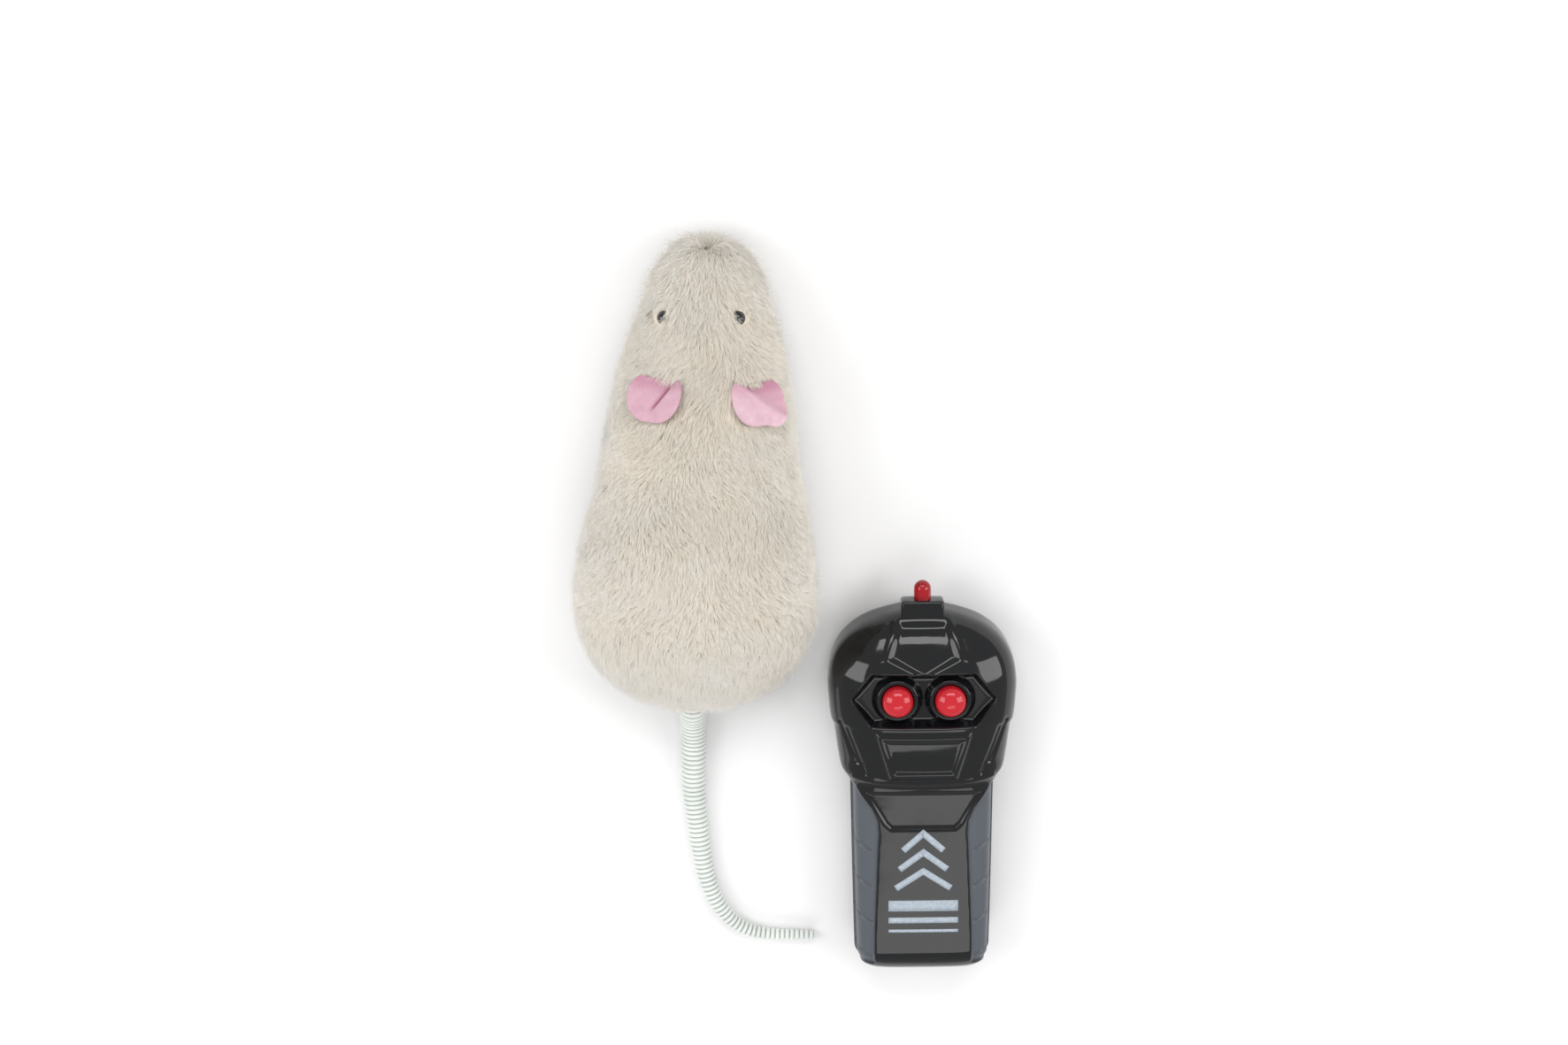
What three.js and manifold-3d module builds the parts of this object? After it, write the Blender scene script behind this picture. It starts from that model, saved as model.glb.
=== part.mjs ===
// Remote-controlled plush mouse: a furry toy that drives on hidden wheels, and its handheld remote.
// Millimetres, +Z up, +Y from the mouse's tail to its nose, +X to its right.
import * as THREE from "three";
import * as BufferGeometryUtils from "three/addons/utils/BufferGeometryUtils.js";
import Module from "manifold-3d";

const wasm = await Module();
wasm.setup();

// Clearances
const seatGap = 0.3;
const runGap = 0.1;
const overrun = 2;

// Mouse body: a pear seen from above, a low hump seen from the side
const body = {
  length: 138, width: 69, height: 50, skinWall: 2, stations: 20, sectionPoints: 16,
  innerStations: 14, innerPoints: 10,
};
const bodyWidthShares = [
  [0, 0.16], [0.012, 0.36], [0.04, 0.57], [0.08, 0.77], [0.14, 0.93], [0.21, 1], [0.3, 0.985],
  [0.4, 0.92], [0.5, 0.83], [0.6, 0.77], [0.7, 0.71], [0.8, 0.61], [0.88, 0.5], [0.95, 0.37],
  [0.985, 0.25], [1, 0.12],
];
const bodyTopShares = [
  [0, 0.3], [0.012, 0.36], [0.04, 0.47], [0.08, 0.6], [0.14, 0.76], [0.22, 0.92], [0.32, 1],
  [0.5, 0.94], [0.6, 0.87], [0.7, 0.78], [0.8, 0.68], [0.88, 0.585], [0.95, 0.49], [0.985, 0.42],
  [1, 0.34],
];
const bodyHemShares = [
  [0, 0.2], [0.012, 0.16], [0.04, 0.12], [0.08, 0.1], [0.14, 0.1], [0.5, 0.1], [0.88, 0.1],
  [0.95, 0.11], [0.985, 0.14], [1, 0.2],
];
const waistShare = 0.32;
const tuckShare = 0.93;
const sectionPower = 2.35;

// Stations along the mouse, measured from its nose and from its rump
const noseY = body.length / 2;
const rumpY = -body.length / 2;
const noseTo = { frontScrew: 9.8, caster: 19, leftEye: 20.1, rightEye: 19.1, ears: 37.1 };
const rumpTo = { axle: 40, rearScrew: 20, toggle: 21.5, tailPivot: 10.5 };

// Housing under the plush, and the chassis tray below it
const housing = { wall: 1.8, parting: 13, boss: 2.5, pilot: 0.9 };
const tray = { bottom: 3.2, floor: 1.5, wall: 1.6, wheelGap: 2.4 };

// Drive train
const wheel = {
  radius: 13, width: 7, tyre: 2.2, tread: 0.5, treadCount: 14, sides: 28, dish: 1.5, hub: 3, shoulder: 0.6,
};
const axle = { radius: 1, y: rumpY + rumpTo.axle, sides: 12, out: 0.6 };
const gear = {
  module: 0.5, bigTeeth: 30, smallTeeth: 10, face: 2.6, spacer: 0.4, addendumShare: 0.85, dedendumShare: 1.25,
  hubRadius: 1.8, pressGap: 0.03,
};
const toothShares = [[-0.34, 0], [-0.11, 1], [0.11, 1], [0.34, 0]];
const idler = { dy: 6, dz: 8, pin: 0.75 };
const motor = {
  dy: 8, dz: 6, length: 22, wide: 20, high: 15, boss: 3, bossLong: 1.2, shaft: 1, endCap: 1.5, shaftIn: 3,
  sides: 32,
};
const plate = { x: 6.6, thick: 1.4, behindAxle: 4, top: 35.5, behindBay: 2.55 };
const bearing = { x: 14.6, thick: 1.8, halfWide: 4.5, top: 4, idlerTop: 25 };

// Caster under the chin
const caster = {
  y: noseY - noseTo.caster, trail: 5, wheel: 5, width: 4, pin: 0.75, post: 1.8, postLong: 7, plate: 1.5,
  plateRadius: 5, ear: 1.2, earHalf: 2, well: 10.5, boss: 3.4, sides: 28, wellSides: 32,
};

// Cells
const aaa = { radius: 5.25, length: 44.5, cap: 1.9, capLength: 0.8 };
const aa = { radius: 7.25, length: 50.5, cap: 2.75, capLength: 1 };
const mouseBay = { cells: 3, y: 11.6, pitch: 11.4, end: 3.6, wall: 1.2, endHigh: 12.4, sideHigh: 16.6 };
const contact = { thick: 0.4, bump: 2, tip: 1, back: 0.6, sides: 14 };
const cellSides = 16;

// Door, switch and screws under the mouse
const door = {
  margin: 2.6, rim: 1.4, ribCount: 5, ribFirst: 4, ribPitch: 2.4, ribWide: 1, ribHalf: 7, ribDeep: 0.5,
};
const screw = { head: 2, headHigh: 1.1, shank: 0.85, long: 6, slot: 0.7, slotDeep: 0.5, sides: 12 };
const headRoundShare = 0.7;
const frontScrewY = noseY - noseTo.frontScrew;
const doorScrew = { behindBay: 4.15, boss: 2.6, bossHigh: 4.5, ear: 3.2, earThick: 0.7 };
const rearScrew = { x: -14, y: rumpY + rumpTo.rearScrew };
const toggle = {
  x: 13, y: rumpY + rumpTo.toggle, long: 12, wide: 5.6, high: 4.5, knobLong: 3.6, knobWide: 2.2,
  knobDrop: 1.8, flange: 0.8, flangeOut: 0.6, travel: 3, wall: 0.6, play: 0.2,
};

// Receiver board and its aerial
const board = { y: 17, long: 26, thick: 1.2, chipLong: 8, chipWide: 6, chipHigh: 1.6 };
const lead = { radius: 0.5, sides: 6, steps: 12, gap: 3, rise: 8, spread: 2 };

// Ears, eyes and tail
const ear = {
  wide: 15.4, long: 13, thick: 1.8, cup: 2.4, leftX: -10.8, rightX: 15, y: noseY - noseTo.ears, sunk: 1.5,
  leanDegrees: 36, splayDegrees: 8, sides: 18,
};
const eye = {
  radius: 2.4, sunk: 0.5, stalk: 0.9, stalkLong: 2.2, stalkSides: 8, leftX: -12.6,
  leftY: noseY - noseTo.leftEye, rightX: 10.2, rightY: noseY - noseTo.rightEye, sides: 12,
};
const tail = {
  root: 3.7, middle: 2.6, tip: 1.2, neck: 2.3, neckLong: 21, valley: 0.5, bore: 0.7, ribCount: 42, sides: 8,
  boreStep: 5, boreExtra: 4, plug: 4.6, plugThick: 1.6, lift: 0.05, hole: 1.7, skinHole: 2.8,
};
const tailMiddleShare = 0.5;
const tailBoreShare = 0.8;
const ribValleyShare = 0.8;
const neckShares = [0.25, 0.5, 0.75, 0.9];
const earRootShare = 0.08;
const earTipShare = 0.96;
const tailPivot = { y: rumpY + rumpTo.tailPivot, z: 11.5 };
const tailRoute = [
  [0, 8.5, 0], [0, 0, 0], [0.1, -8.4, -0.3], [0.2, -12.6, -1.6], [0.4, -17.5, -4.6], [0.7, -23.5, -6.9],
  [0.9, -30, -7.9], [1.4, -40.8, -9], [2.6, -50.2, -9], [4.1, -59.3, -9], [6.1, -68.7, -9], [9.3, -76.7, -9],
  [14.4, -83.4, -9.2], [20.3, -86.7, -9.5], [26.3, -87.6, -9.8], [32.3, -87.6, -10], [39.9, -87.5, -10.3],
];

// Remote: lies on its back beside the mouse
const remote = {
  x: 72.7, y: -148.1, turnDegrees: 3.2, length: 111.5, width: 55.8, height: 27,
  parting: 11, wall: 2, sectionPoints: 20, innerStations: 10, innerPoints: 12,
};
const remoteStationShares = [
  0, 0.012, 0.035, 0.06, 0.18, 0.3, 0.42, 0.53, 0.545, 0.567, 0.612, 0.66, 0.705, 0.76, 0.81, 0.87, 0.92,
  0.96, 0.985, 1,
];
const remoteWidthShares = [
  [0, 0.6], [0.012, 0.66], [0.035, 0.722], [0.06, 0.732], [0.3, 0.752], [0.5, 0.764], [0.53, 0.77],
  [0.545, 0.8], [0.567, 0.862], [0.612, 0.9], [0.66, 0.925], [0.69, 0.945], [0.705, 0.972], [0.76, 0.995],
  [0.81, 1], [0.87, 0.955], [0.92, 0.84], [0.96, 0.65], [0.985, 0.42], [1, 0.2],
];
const remoteTopShares = [
  [0, 0.66], [0.012, 0.72], [0.035, 0.78], [0.06, 0.8], [0.3, 0.8], [0.5, 0.81], [0.53, 0.82], [0.56, 0.87],
  [0.6, 0.92], [0.66, 0.965], [0.76, 1], [0.86, 0.97], [0.93, 0.86], [0.97, 0.74], [1, 0.6],
];
const remoteBackShares = [
  [0, 0.14], [0.012, 0.08], [0.035, 0.02], [0.06, 0], [0.9, 0], [0.96, 0.06], [1, 0.2],
];
const gripPower = 4.6;
const headPower = 2.7;
const backPower = 5;
const backFlatShare = 1.12;
const blendShares = [0.5, 0.6];
const headTo = {
  recess: 24.9, crownTop: 3.5, crownBend: 12.5, gripPanel: 53.5, gripWaist: 63.5, tab: 6.5, screws: 27.5,
  boardTop: 9.5, boardFoot: 41.5,
};
const recess = { y: remote.length - headTo.recess, halfLong: 7.6, wide: 20.8, shoulder: 15, depth: 5 };
const button = {
  x: 7.7, radius: 4.5, proud: 1.2, dome: 3, flange: 5.3, flangeThick: 1, travel: 1.2, sides: 18,
};
const domeSteps = 4;
const domeTopShare = 0.6;
const collar = { base: 7.1, top: 5.7, high: 2.8 };
const groove = { wide: 0.9, deep: 0.65 };
const crownPanel = { halfTop: 6.2, halfBend: 9.6 };
const gripPanel = { deep: 0.6, foot: 3, topHalf: 20.2, waistHalf: 13.4, footHalf: 14.8 };
const gripCuts = { count: 3, first: 13, pitch: 11.4, wide: 0.9, deep: 0.8, climb: 18 };
const tab = { halfWide: 6.3, out: 3.3, low: 0.2, high: 7.2 };
const lens = { radius: 2.5, out: 5.6, flange: 3.1, flangeThick: 1, in: 8, sides: 16 };
const pad = { halfWide: 13, halfLong: 7, thick: 1, dome: 3, domeHigh: 1.5, sides: 16 };
const remoteBay = { from: 3.55, pitch: 15.2, end: 2.2, contactLift: 1.6 };
const remoteBayFront = remoteBay.from + aa.length + 2 * remoteBay.end;
const remoteBoard = {
  halfWide: 15, bayGap: 2, thick: 1.4, chipLong: 9, chipWide: 7, chipHigh: 1.8, postX: 12.5, postIn: 3,
  post: 2,
};
const remoteDoor = {
  halfWide: 15.6, y0: 3.5, past: 0.45, thick: 1.3, lift: 0.15, rail: 1.2, ribCount: 5, ribHalf: 7, ribLong: 1,
  ribPitch: 2.2, ribY: 12,
};
const remoteScrew = {
  x: 19.6, y: remote.length - headTo.screws, boss: 3.2, bore: 1.1, sink: 2.6, sinkDeep: 3,
};

// Finishes
const finish = (color, roughness, metalness = 0) => (
  new THREE.MeshStandardMaterial({ color, roughness, metalness })
);
const plush = finish(0xded4c2, 0.95);
const felt = finish(0xe3a5bb, 0.9);
const softWhite = finish(0xf0efec, 0.45);
const glossBlack = finish(0x17181a, 0.18);
const mattBlack = finish(0x25272a, 0.6);
const red = finish(0xc5202c, 0.2);
const steel = finish(0xb8bbbe, 0.35, 1);
const brassy = finish(0xc9a45a, 0.35, 1);
const rubber = finish(0x222222, 0.85);
const white = finish(0xe9e7e0, 0.5);
const green = finish(0x2c6b45, 0.6);
const jacket = finish(0x3b4c63, 0.4);

// Joining and cutting
const weldTolerance = 1e-4;
const solid = (geometry) => {
  const bare = geometry.clone();
  bare.deleteAttribute("normal");
  bare.deleteAttribute("uv");
  const merged = BufferGeometryUtils.mergeVertices(bare, weldTolerance);
  const vertProperties = Float32Array.from(merged.attributes.position.array);
  const triVerts = Uint32Array.from(merged.index.array);
  return new wasm.Manifold(new wasm.Mesh({ numProp: 3, vertProperties, triVerts }));
};
const geometryOf = (manifold) => {
  const mesh = manifold.getMesh();
  const geometry = new THREE.BufferGeometry();
  geometry.setAttribute("position", new THREE.BufferAttribute(mesh.vertProperties, 3));
  geometry.setIndex(new THREE.BufferAttribute(mesh.triVerts, 1));
  return geometry;
};
const join = (...parts) => parts.reduce((sum, part) => sum.add(part));
const cut = (from, ...parts) => parts.reduce((rest, part) => rest.subtract(part), from);
const named = (name, shape, material) => {
  const geometry = shape.isBufferGeometry ? shape : geometryOf(shape);
  geometry.computeVertexNormals();
  const mesh = new THREE.Mesh(geometry, material);
  mesh.name = name;
  return mesh;
};

const roundSides = 16;

// Plain shapes, placed by their limits or their axis
const block = (x0, x1, y0, y1, z0, z1) => {
  const shape = new THREE.BoxGeometry(x1 - x0, y1 - y0, z1 - z0);
  return solid(shape.translate((x0 + x1) / 2, (y0 + y1) / 2, (z0 + z1) / 2));
};
const turnedTo = { x: (g) => g.rotateZ(-Math.PI / 2), y: (g) => g, z: (g) => g.rotateX(Math.PI / 2) };
const rod = (axis, radius, from, to, at, sides = roundSides) => {
  const shape = new THREE.CylinderGeometry(radius, radius, to - from, sides);
  turnedTo[axis](shape.translate(0, (from + to) / 2, 0));
  return solid(shape.translate(...at));
};
const turned = (profile, sides) => {
  const points = profile.map(([radius, height]) => new THREE.Vector2(radius, height));
  return new THREE.LatheGeometry(points, sides);
};
const prism = (outline, z0, z1) => {
  const shape = new THREE.Shape(outline.map(([x, y]) => new THREE.Vector2(x, y)));
  return solid(new THREE.ExtrudeGeometry(shape, { depth: z1 - z0, bevelEnabled: false }).translate(0, 0, z0));
};

// A smooth reading of a table of shares
const readShares = (table, share) => {
  const last = table.length - 1;
  const next = Math.min(Math.max(table.findIndex(([at]) => at >= share), 1), last);
  const [a, va] = table[next - 1];
  const [b, vb] = table[next];
  const slope = (i) => {
    const [low, high] = [table[Math.max(i - 1, 0)], table[Math.min(i + 1, last)]];
    return (high[1] - low[1]) / (high[0] - low[0]);
  };
  const t = (share - a) / (b - a);
  const [ma, mb] = [slope(next - 1) * (b - a), slope(next) * (b - a)];
  const [t2, t3] = [t * t, t * t * t];
  return (2 * t3 - 3 * t2 + 1) * va + (t3 - 2 * t2 + t) * ma + (3 * t2 - 2 * t3) * vb + (t3 - t2) * mb;
};

// A closed skin through rings of as many points each
const loft = (rings) => {
  const count = rings[0].length;
  const position = rings.flat(2);
  const index = [];
  for (let i = 0; i + 1 < rings.length; i++) {
    for (let j = 0; j < count; j++) {
      const k = (j + 1) % count;
      index.push(i * count + j, (i + 1) * count + k, i * count + k);
      index.push(i * count + j, (i + 1) * count + j, (i + 1) * count + k);
    }
  }
  [0, rings.length - 1].forEach((ring) => {
    const middle = position.length / 3;
    const sum = [0, 1, 2].map((axis) => rings[ring].reduce((total, point) => total + point[axis], 0) / count);
    position.push(...sum);
    for (let j = 0; j < count; j++) {
      const k = (j + 1) % count;
      index.push(middle, ...(ring ? [ring * count + k, ring * count + j] : [j, k]));
    }
  });
  const geometry = new THREE.BufferGeometry();
  geometry.setAttribute("position", new THREE.Float32BufferAttribute(position, 3));
  geometry.setIndex(index);
  return solid(geometry);
};

// Cosine spacing gathers the stations at the two round ends
const spread = (count) => (
  Array.from({ length: count + 1 }, (_, i) => (1 - Math.cos((Math.PI * i) / count)) / 2)
);
const bent = (value, power) => Math.sign(value) * Math.abs(value) ** (2 / power);

// The mouse's body, drawn in by an inset and open or closed below
const bodyForm = (drawnIn, open) => {
  const inner = drawnIn > 0;
  const stations = inner ? body.innerStations : body.stations;
  const points = inner ? body.innerPoints : body.sectionPoints;
  const rings = spread(stations).map((share) => {
    const y = (share - 0.5) * (body.length - 2 * drawnIn);
    const half = (readShares(bodyWidthShares, share) * body.width) / 2 - drawnIn;
    const top = readShares(bodyTopShares, share) * body.height - drawnIn;
    const hem = readShares(bodyHemShares, share) * body.height;
    const waist = hem + waistShare * (top - hem);
    const foot = open ? -overrun : hem;
    const arch = Array.from({ length: points + 1 }, (_, i) => {
      const angle = (Math.PI * i) / points;
      const rise = (top - waist) * bent(Math.sin(angle), sectionPower);
      return [half * bent(Math.cos(angle), sectionPower), y, waist + rise];
    });
    const tuck = half * tuckShare;
    const footHalf = open ? tuck : tuck / 2;
    return [...arch, [-tuck, y, hem], [-footHalf, y, foot], [footHalf, y, foot], [tuck, y, hem]];
  });
  return loft(rings);
};
const reach = body.length;
const layer = (z0, z1) => block(-reach, reach, -reach, reach, z0, z1);

// Places that several pieces share
const floorTop = tray.bottom + tray.floor;
const inset = body.skinWall + seatGap;
const axleZ = wheel.radius;
const idlerAt = [0, axle.y + idler.dy, axleZ + idler.dz];
const motorAt = [0, idlerAt[1] + motor.dy, idlerAt[2] + motor.dz];
const motorFace = plate.x - seatGap;
const nearPlane = plate.x + plate.thick + seatGap;
const farPlane = nearPlane + gear.face + gear.spacer;
const gearEnd = farPlane + gear.face;
const wheelIn = bearing.x + bearing.thick + seatGap + axle.out;
const wheelOut = wheelIn + wheel.width;
const cellZ = floorTop + seatGap + aaa.radius;
const cellBack = mouseBay.y - aaa.length / 2;
const cellFront = mouseBay.y + aaa.length / 2;
const bayHalf = (mouseBay.cells / 2) * mouseBay.pitch;
const bayBack = cellBack - mouseBay.end;
const bayFront = cellFront + mouseBay.end;
const boardZ = mouseBay.sideHigh + seatGap;
const boardBack = board.y - board.long / 2;
const boardFront = board.y + board.long / 2;
const doorBack = cellBack + door.margin;
const doorFront = cellFront - door.margin;
const doorHalf = bayHalf - door.rim;
const doorScrewY = bayBack - doorScrew.behindBay;

// The outside of the plush above a point, and the way it faces there
const skinAt = (x, y) => {
  const share = 0.5 + y / body.length;
  const half = (readShares(bodyWidthShares, share) * body.width) / 2;
  const top = readShares(bodyTopShares, share) * body.height;
  const hem = readShares(bodyHemShares, share) * body.height;
  const waist = hem + waistShare * (top - hem);
  const cosine = Math.abs(x) / half;
  const sine = (1 - cosine ** sectionPower) ** (1 / sectionPower);
  const sideways = (Math.sign(x) * cosine ** (sectionPower - 1)) / half;
  const outward = new THREE.Vector3(sideways, 0, sine ** (sectionPower - 1) / (top - waist)).normalize();
  return { at: new THREE.Vector3(x, y, waist + (top - waist) * sine), outward };
};
const leftEye = skinAt(eye.leftX, eye.leftY);
const rightEye = skinAt(eye.rightX, eye.rightY);

// Beads pushed into the pile, each on a short stalk through the backing
const eyeStalk = ({ at, outward }, radius) => {
  const shape = new THREE.CylinderGeometry(radius, radius, 2 * eye.stalkLong, eye.stalkSides);
  shape.applyQuaternion(new THREE.Quaternion().setFromUnitVectors(new THREE.Vector3(0, 1, 0), outward));
  return solid(shape.translate(at.x, at.y, at.z));
};
const eyeBead = (name, place) => {
  const centre = place.at.clone().addScaledVector(place.outward, -eye.sunk);
  const ball = new THREE.SphereGeometry(eye.radius, eye.sides, eye.sides / 2);
  const outside = cut(solid(ball.translate(centre.x, centre.y, centre.z)), bodyForm(-runGap, false));
  return named(name, join(outside, eyeStalk(place, eye.stalk)), glossBlack);
};

// Ears: pinched leaves of felt that lie back, their roots sewn to the skin
const earLeaf = (name, rootX, side) => {
  const rings = spread(ear.sides / 2).map((share) => {
    const along = share * ear.long;
    const swing = Math.PI * THREE.MathUtils.lerp(earRootShare, earTipShare, share);
    const half = (ear.wide / 2) * Math.sqrt(Math.sin(swing));
    return Array.from({ length: ear.sides }, (_, i) => {
      const angle = (2 * Math.PI * i) / ear.sides;
      const x = half * Math.cos(angle);
      const cup = ear.cup * (x / (ear.wide / 2)) ** 2;
      return [x, -along, cup - (ear.thick / 2) * Math.sin(angle)];
    });
  });
  const geometry = geometryOf(loft(rings));
  geometry.rotateX(THREE.MathUtils.degToRad(-ear.leanDegrees));
  geometry.rotateZ(THREE.MathUtils.degToRad(side * ear.splayDegrees));
  geometry.translate(rootX, ear.y, skinAt(rootX, ear.y).at.z - ear.sunk);
  return named(name, cut(solid(geometry), bodyForm(-runGap, false)), felt);
};

const plushSkin = () => {
  const hole = rod("y", tail.neck + tail.skinHole, -reach, tailPivot.y, [0, 0, tailPivot.z]);
  const stalkHoles = [leftEye, rightEye].map((place) => eyeStalk(place, eye.stalk + runGap));
  const skin = cut(bodyForm(0, false), bodyForm(body.skinWall, true));
  return named("plush_skin", cut(skin, hole, ...stalkHoles), plush);
};

// The hole that the housing and the tray clamp round the tail's neck, behind its plug
const tailMouth = () => rod("y", tail.neck + tail.hole, -reach, tailPivot.y, [0, 0, tailPivot.z]);

// Housing under the plush: a hard shell with two screw bosses, the caster's bearing and the tail's hole
const upperHousing = () => {
  const low = housing.parting;
  const outer = bodyForm(inset, false).intersect(layer(low, reach));
  const shell = cut(outer, bodyForm(inset + housing.wall, true));
  const inside = bodyForm(inset + housing.wall / 2, false);
  const bosses = [
    rod("z", housing.boss, floorTop + runGap, reach, [0, frontScrewY, 0]),
    rod("z", housing.boss, floorTop + runGap, reach, [rearScrew.x, rearScrew.y, 0]),
    rod("z", caster.boss, low, reach, [0, caster.y, 0]),
  ].map((boss) => boss.intersect(inside));
  const pilotTop = floorTop + screw.long;
  const holes = [
    rod("z", housing.pilot, 0, pilotTop, [0, frontScrewY, 0]),
    rod("z", housing.pilot, 0, pilotTop, [rearScrew.x, rearScrew.y, 0]),
    rod("z", caster.post + runGap, 0, low + caster.postLong + seatGap, [0, caster.y, 0]),
    tailMouth(),
    ...[leftEye, rightEye].map((place) => eyeStalk(place, eye.stalk + seatGap)),
  ];
  return named("upper_housing", cut(join(shell, ...bosses), ...holes), mattBlack);
};

// Chassis tray: floor, low walls, wheel slots, axle bearings, cell bay and caster well
const chassisTray = () => {
  const top = housing.parting - runGap;
  const outer = bodyForm(inset, true).intersect(layer(tray.bottom, top));
  const hollow = bodyForm(inset + tray.wall, true).intersect(layer(floorTop, reach));
  const side = (sign, highest) => {
    const [a, b] = [sign * bearing.x, sign * (bearing.x + bearing.thick)];
    const [x0, x1] = [Math.min(a, b), Math.max(a, b)];
    const wide = wheel.radius + tray.wheelGap;
    const front = Math.min(axle.y + wide, bayBack - mouseBay.wall / 2);
    const wall = block(x0, x1, axle.y - wide, front, tray.bottom, top - seatGap);
    return join(wall, block(x0, x1, axle.y - bearing.halfWide, axle.y + highest[0], tray.bottom, highest[1]));
  };
  const bayOut = bayHalf + mouseBay.wall;
  const bay = cut(
    block(-bayOut, bayOut, bayBack - mouseBay.wall, bayFront + mouseBay.wall, tray.bottom, mouseBay.endHigh),
    block(-bayHalf, bayHalf, bayBack, bayFront, floorTop, reach),
  );
  const sideWall = (x) => (
    block(x, x + mouseBay.wall, boardBack, boardFront, tray.bottom, mouseBay.sideHigh)
  );
  const tower = [idler.dy + bearing.halfWide, bearing.idlerTop];
  const walls = join(
    cut(outer, hollow), side(1, tower), side(-1, [bearing.halfWide, axleZ + bearing.top]),
    bay.intersect(bodyForm(inset, true)), sideWall(bayHalf), sideWall(-bayOut),
    rod("z", doorScrew.boss, tray.bottom, floorTop + doorScrew.bossHigh, [0, doorScrewY, 0]),
  );
  const slot = (sign) => {
    const [a, b] = [sign * (wheelIn - axle.out), sign * (wheelOut + tray.wheelGap / 2)];
    const long = wheel.radius + tray.wheelGap / 2;
    return block(Math.min(a, b), Math.max(a, b), axle.y - long, axle.y + long, -overrun, floorTop + overrun);
  };
  const earOut = doorScrew.ear + runGap;
  const hatch = join(
    block(-doorHalf, doorHalf, doorBack, doorFront, -overrun, floorTop + overrun),
    block(-earOut, earOut, doorScrewY - earOut, doorBack + runGap, -overrun,
      tray.bottom + doorScrew.earThick + runGap),
    rod("z", housing.pilot, 0, floorTop + doorScrew.bossHigh - seatGap, [0, doorScrewY, 0]),
  );
  const knobLong = toggle.knobLong / 2 + seatGap;
  const knobWide = toggle.knobWide / 2 + seatGap;
  const switchSlot = block(
    toggle.x - knobLong, toggle.x + knobLong + toggle.travel, toggle.y - knobWide, toggle.y + knobWide,
    -overrun, floorTop + overrun,
  );
  return named("chassis_tray", cut(
    walls, slot(1), slot(-1), hatch, switchSlot, tailMouth(),
    rod("z", caster.well, -overrun, top - seatGap, [0, caster.y, 0], caster.wellSides).intersect(
      block(-reach, reach, 0, caster.y + caster.plateRadius + seatGap, -reach, reach),
    ),
    rod("x", axle.radius + runGap, -reach, reach, [0, axle.y, axleZ]),
    rod("x", idler.pin + runGap / 2, 0, reach, idlerAt),
    rod("z", screw.shank + runGap, -overrun, reach, [0, frontScrewY, 0]),
    rod("z", screw.shank + runGap, -overrun, reach, [rearScrew.x, rearScrew.y, 0]),
  ), mattBlack);
};

// Spur gear, its teeth drawn with four points each: root, flank, crest and flank
const gearDisc = (teeth, phase, x0, x1, at) => {
  const pitch = (gear.module * teeth) / 2;
  const [crest, root] = [pitch + gear.module * gear.addendumShare, pitch - gear.module * gear.dedendumShare];
  const step = (2 * Math.PI) / teeth;
  const outline = Array.from({ length: teeth }, (_, i) => toothShares.map(([turn, out]) => {
    const radius = out ? crest : root;
    const angle = (i + turn) * step + phase;
    return [radius * Math.cos(angle), radius * Math.sin(angle)];
  })).flat();
  const shape = new THREE.Shape(outline.map(([x, y]) => new THREE.Vector2(x, y)));
  const geometry = new THREE.ExtrudeGeometry(shape, { depth: x1 - x0, bevelEnabled: false });
  geometry.rotateX(Math.PI / 2).rotateZ(Math.PI / 2);
  return solid(geometry.translate(x0, at[1], at[2]));
};
const lineOfCentres = Math.atan2(idler.dz, idler.dy);
const motorLine = Math.atan2(motor.dz, motor.dy);
const axleAt = [0, axle.y, axleZ];
const smallStep = (2 * Math.PI) / gear.smallTeeth;

const axleHole = (from, to) => rod("x", axle.radius + gear.pressGap, from, to, axleAt, axle.sides);

const axleGear = () => named("axle_gear", cut(
  gearDisc(gear.bigTeeth, lineOfCentres, nearPlane, nearPlane + gear.face, axleAt),
  axleHole(nearPlane - overrun, nearPlane + gear.face + overrun),
), white);

const smallPhase = Math.PI + smallStep / 2;
const idlerGear = () => named("idler_gear", cut(join(
  gearDisc(gear.smallTeeth, lineOfCentres + smallPhase, nearPlane, nearPlane + gear.face, idlerAt),
  gearDisc(gear.bigTeeth, motorLine, farPlane, gearEnd, idlerAt),
  rod("x", gear.hubRadius, nearPlane + gear.face, farPlane, idlerAt),
), rod("x", idler.pin + gear.pressGap, nearPlane - overrun, gearEnd + overrun, idlerAt)), white);

const motorPinion = () => named("motor_pinion", cut(
  gearDisc(gear.smallTeeth, motorLine + smallPhase, farPlane, gearEnd, motorAt),
  rod("x", motor.shaft + gear.pressGap, farPlane - overrun, gearEnd + overrun, motorAt, axle.sides),
), brassy);

const idlerPin = () => named("idler_pin", rod(
  "x", idler.pin, plate.x, bearing.x + bearing.thick, idlerAt,
), steel);

const rearAxle = () => named("rear_axle", rod(
  "x", axle.radius, -wheelOut + wheel.dish, wheelOut - wheel.dish, axleAt, axle.sides,
), steel);

const motorShaft = () => named("motor_shaft", rod(
  "x", motor.shaft, motorFace - motor.shaftIn, gearEnd + axle.out / 2, motorAt, axle.sides,
), steel);

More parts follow.
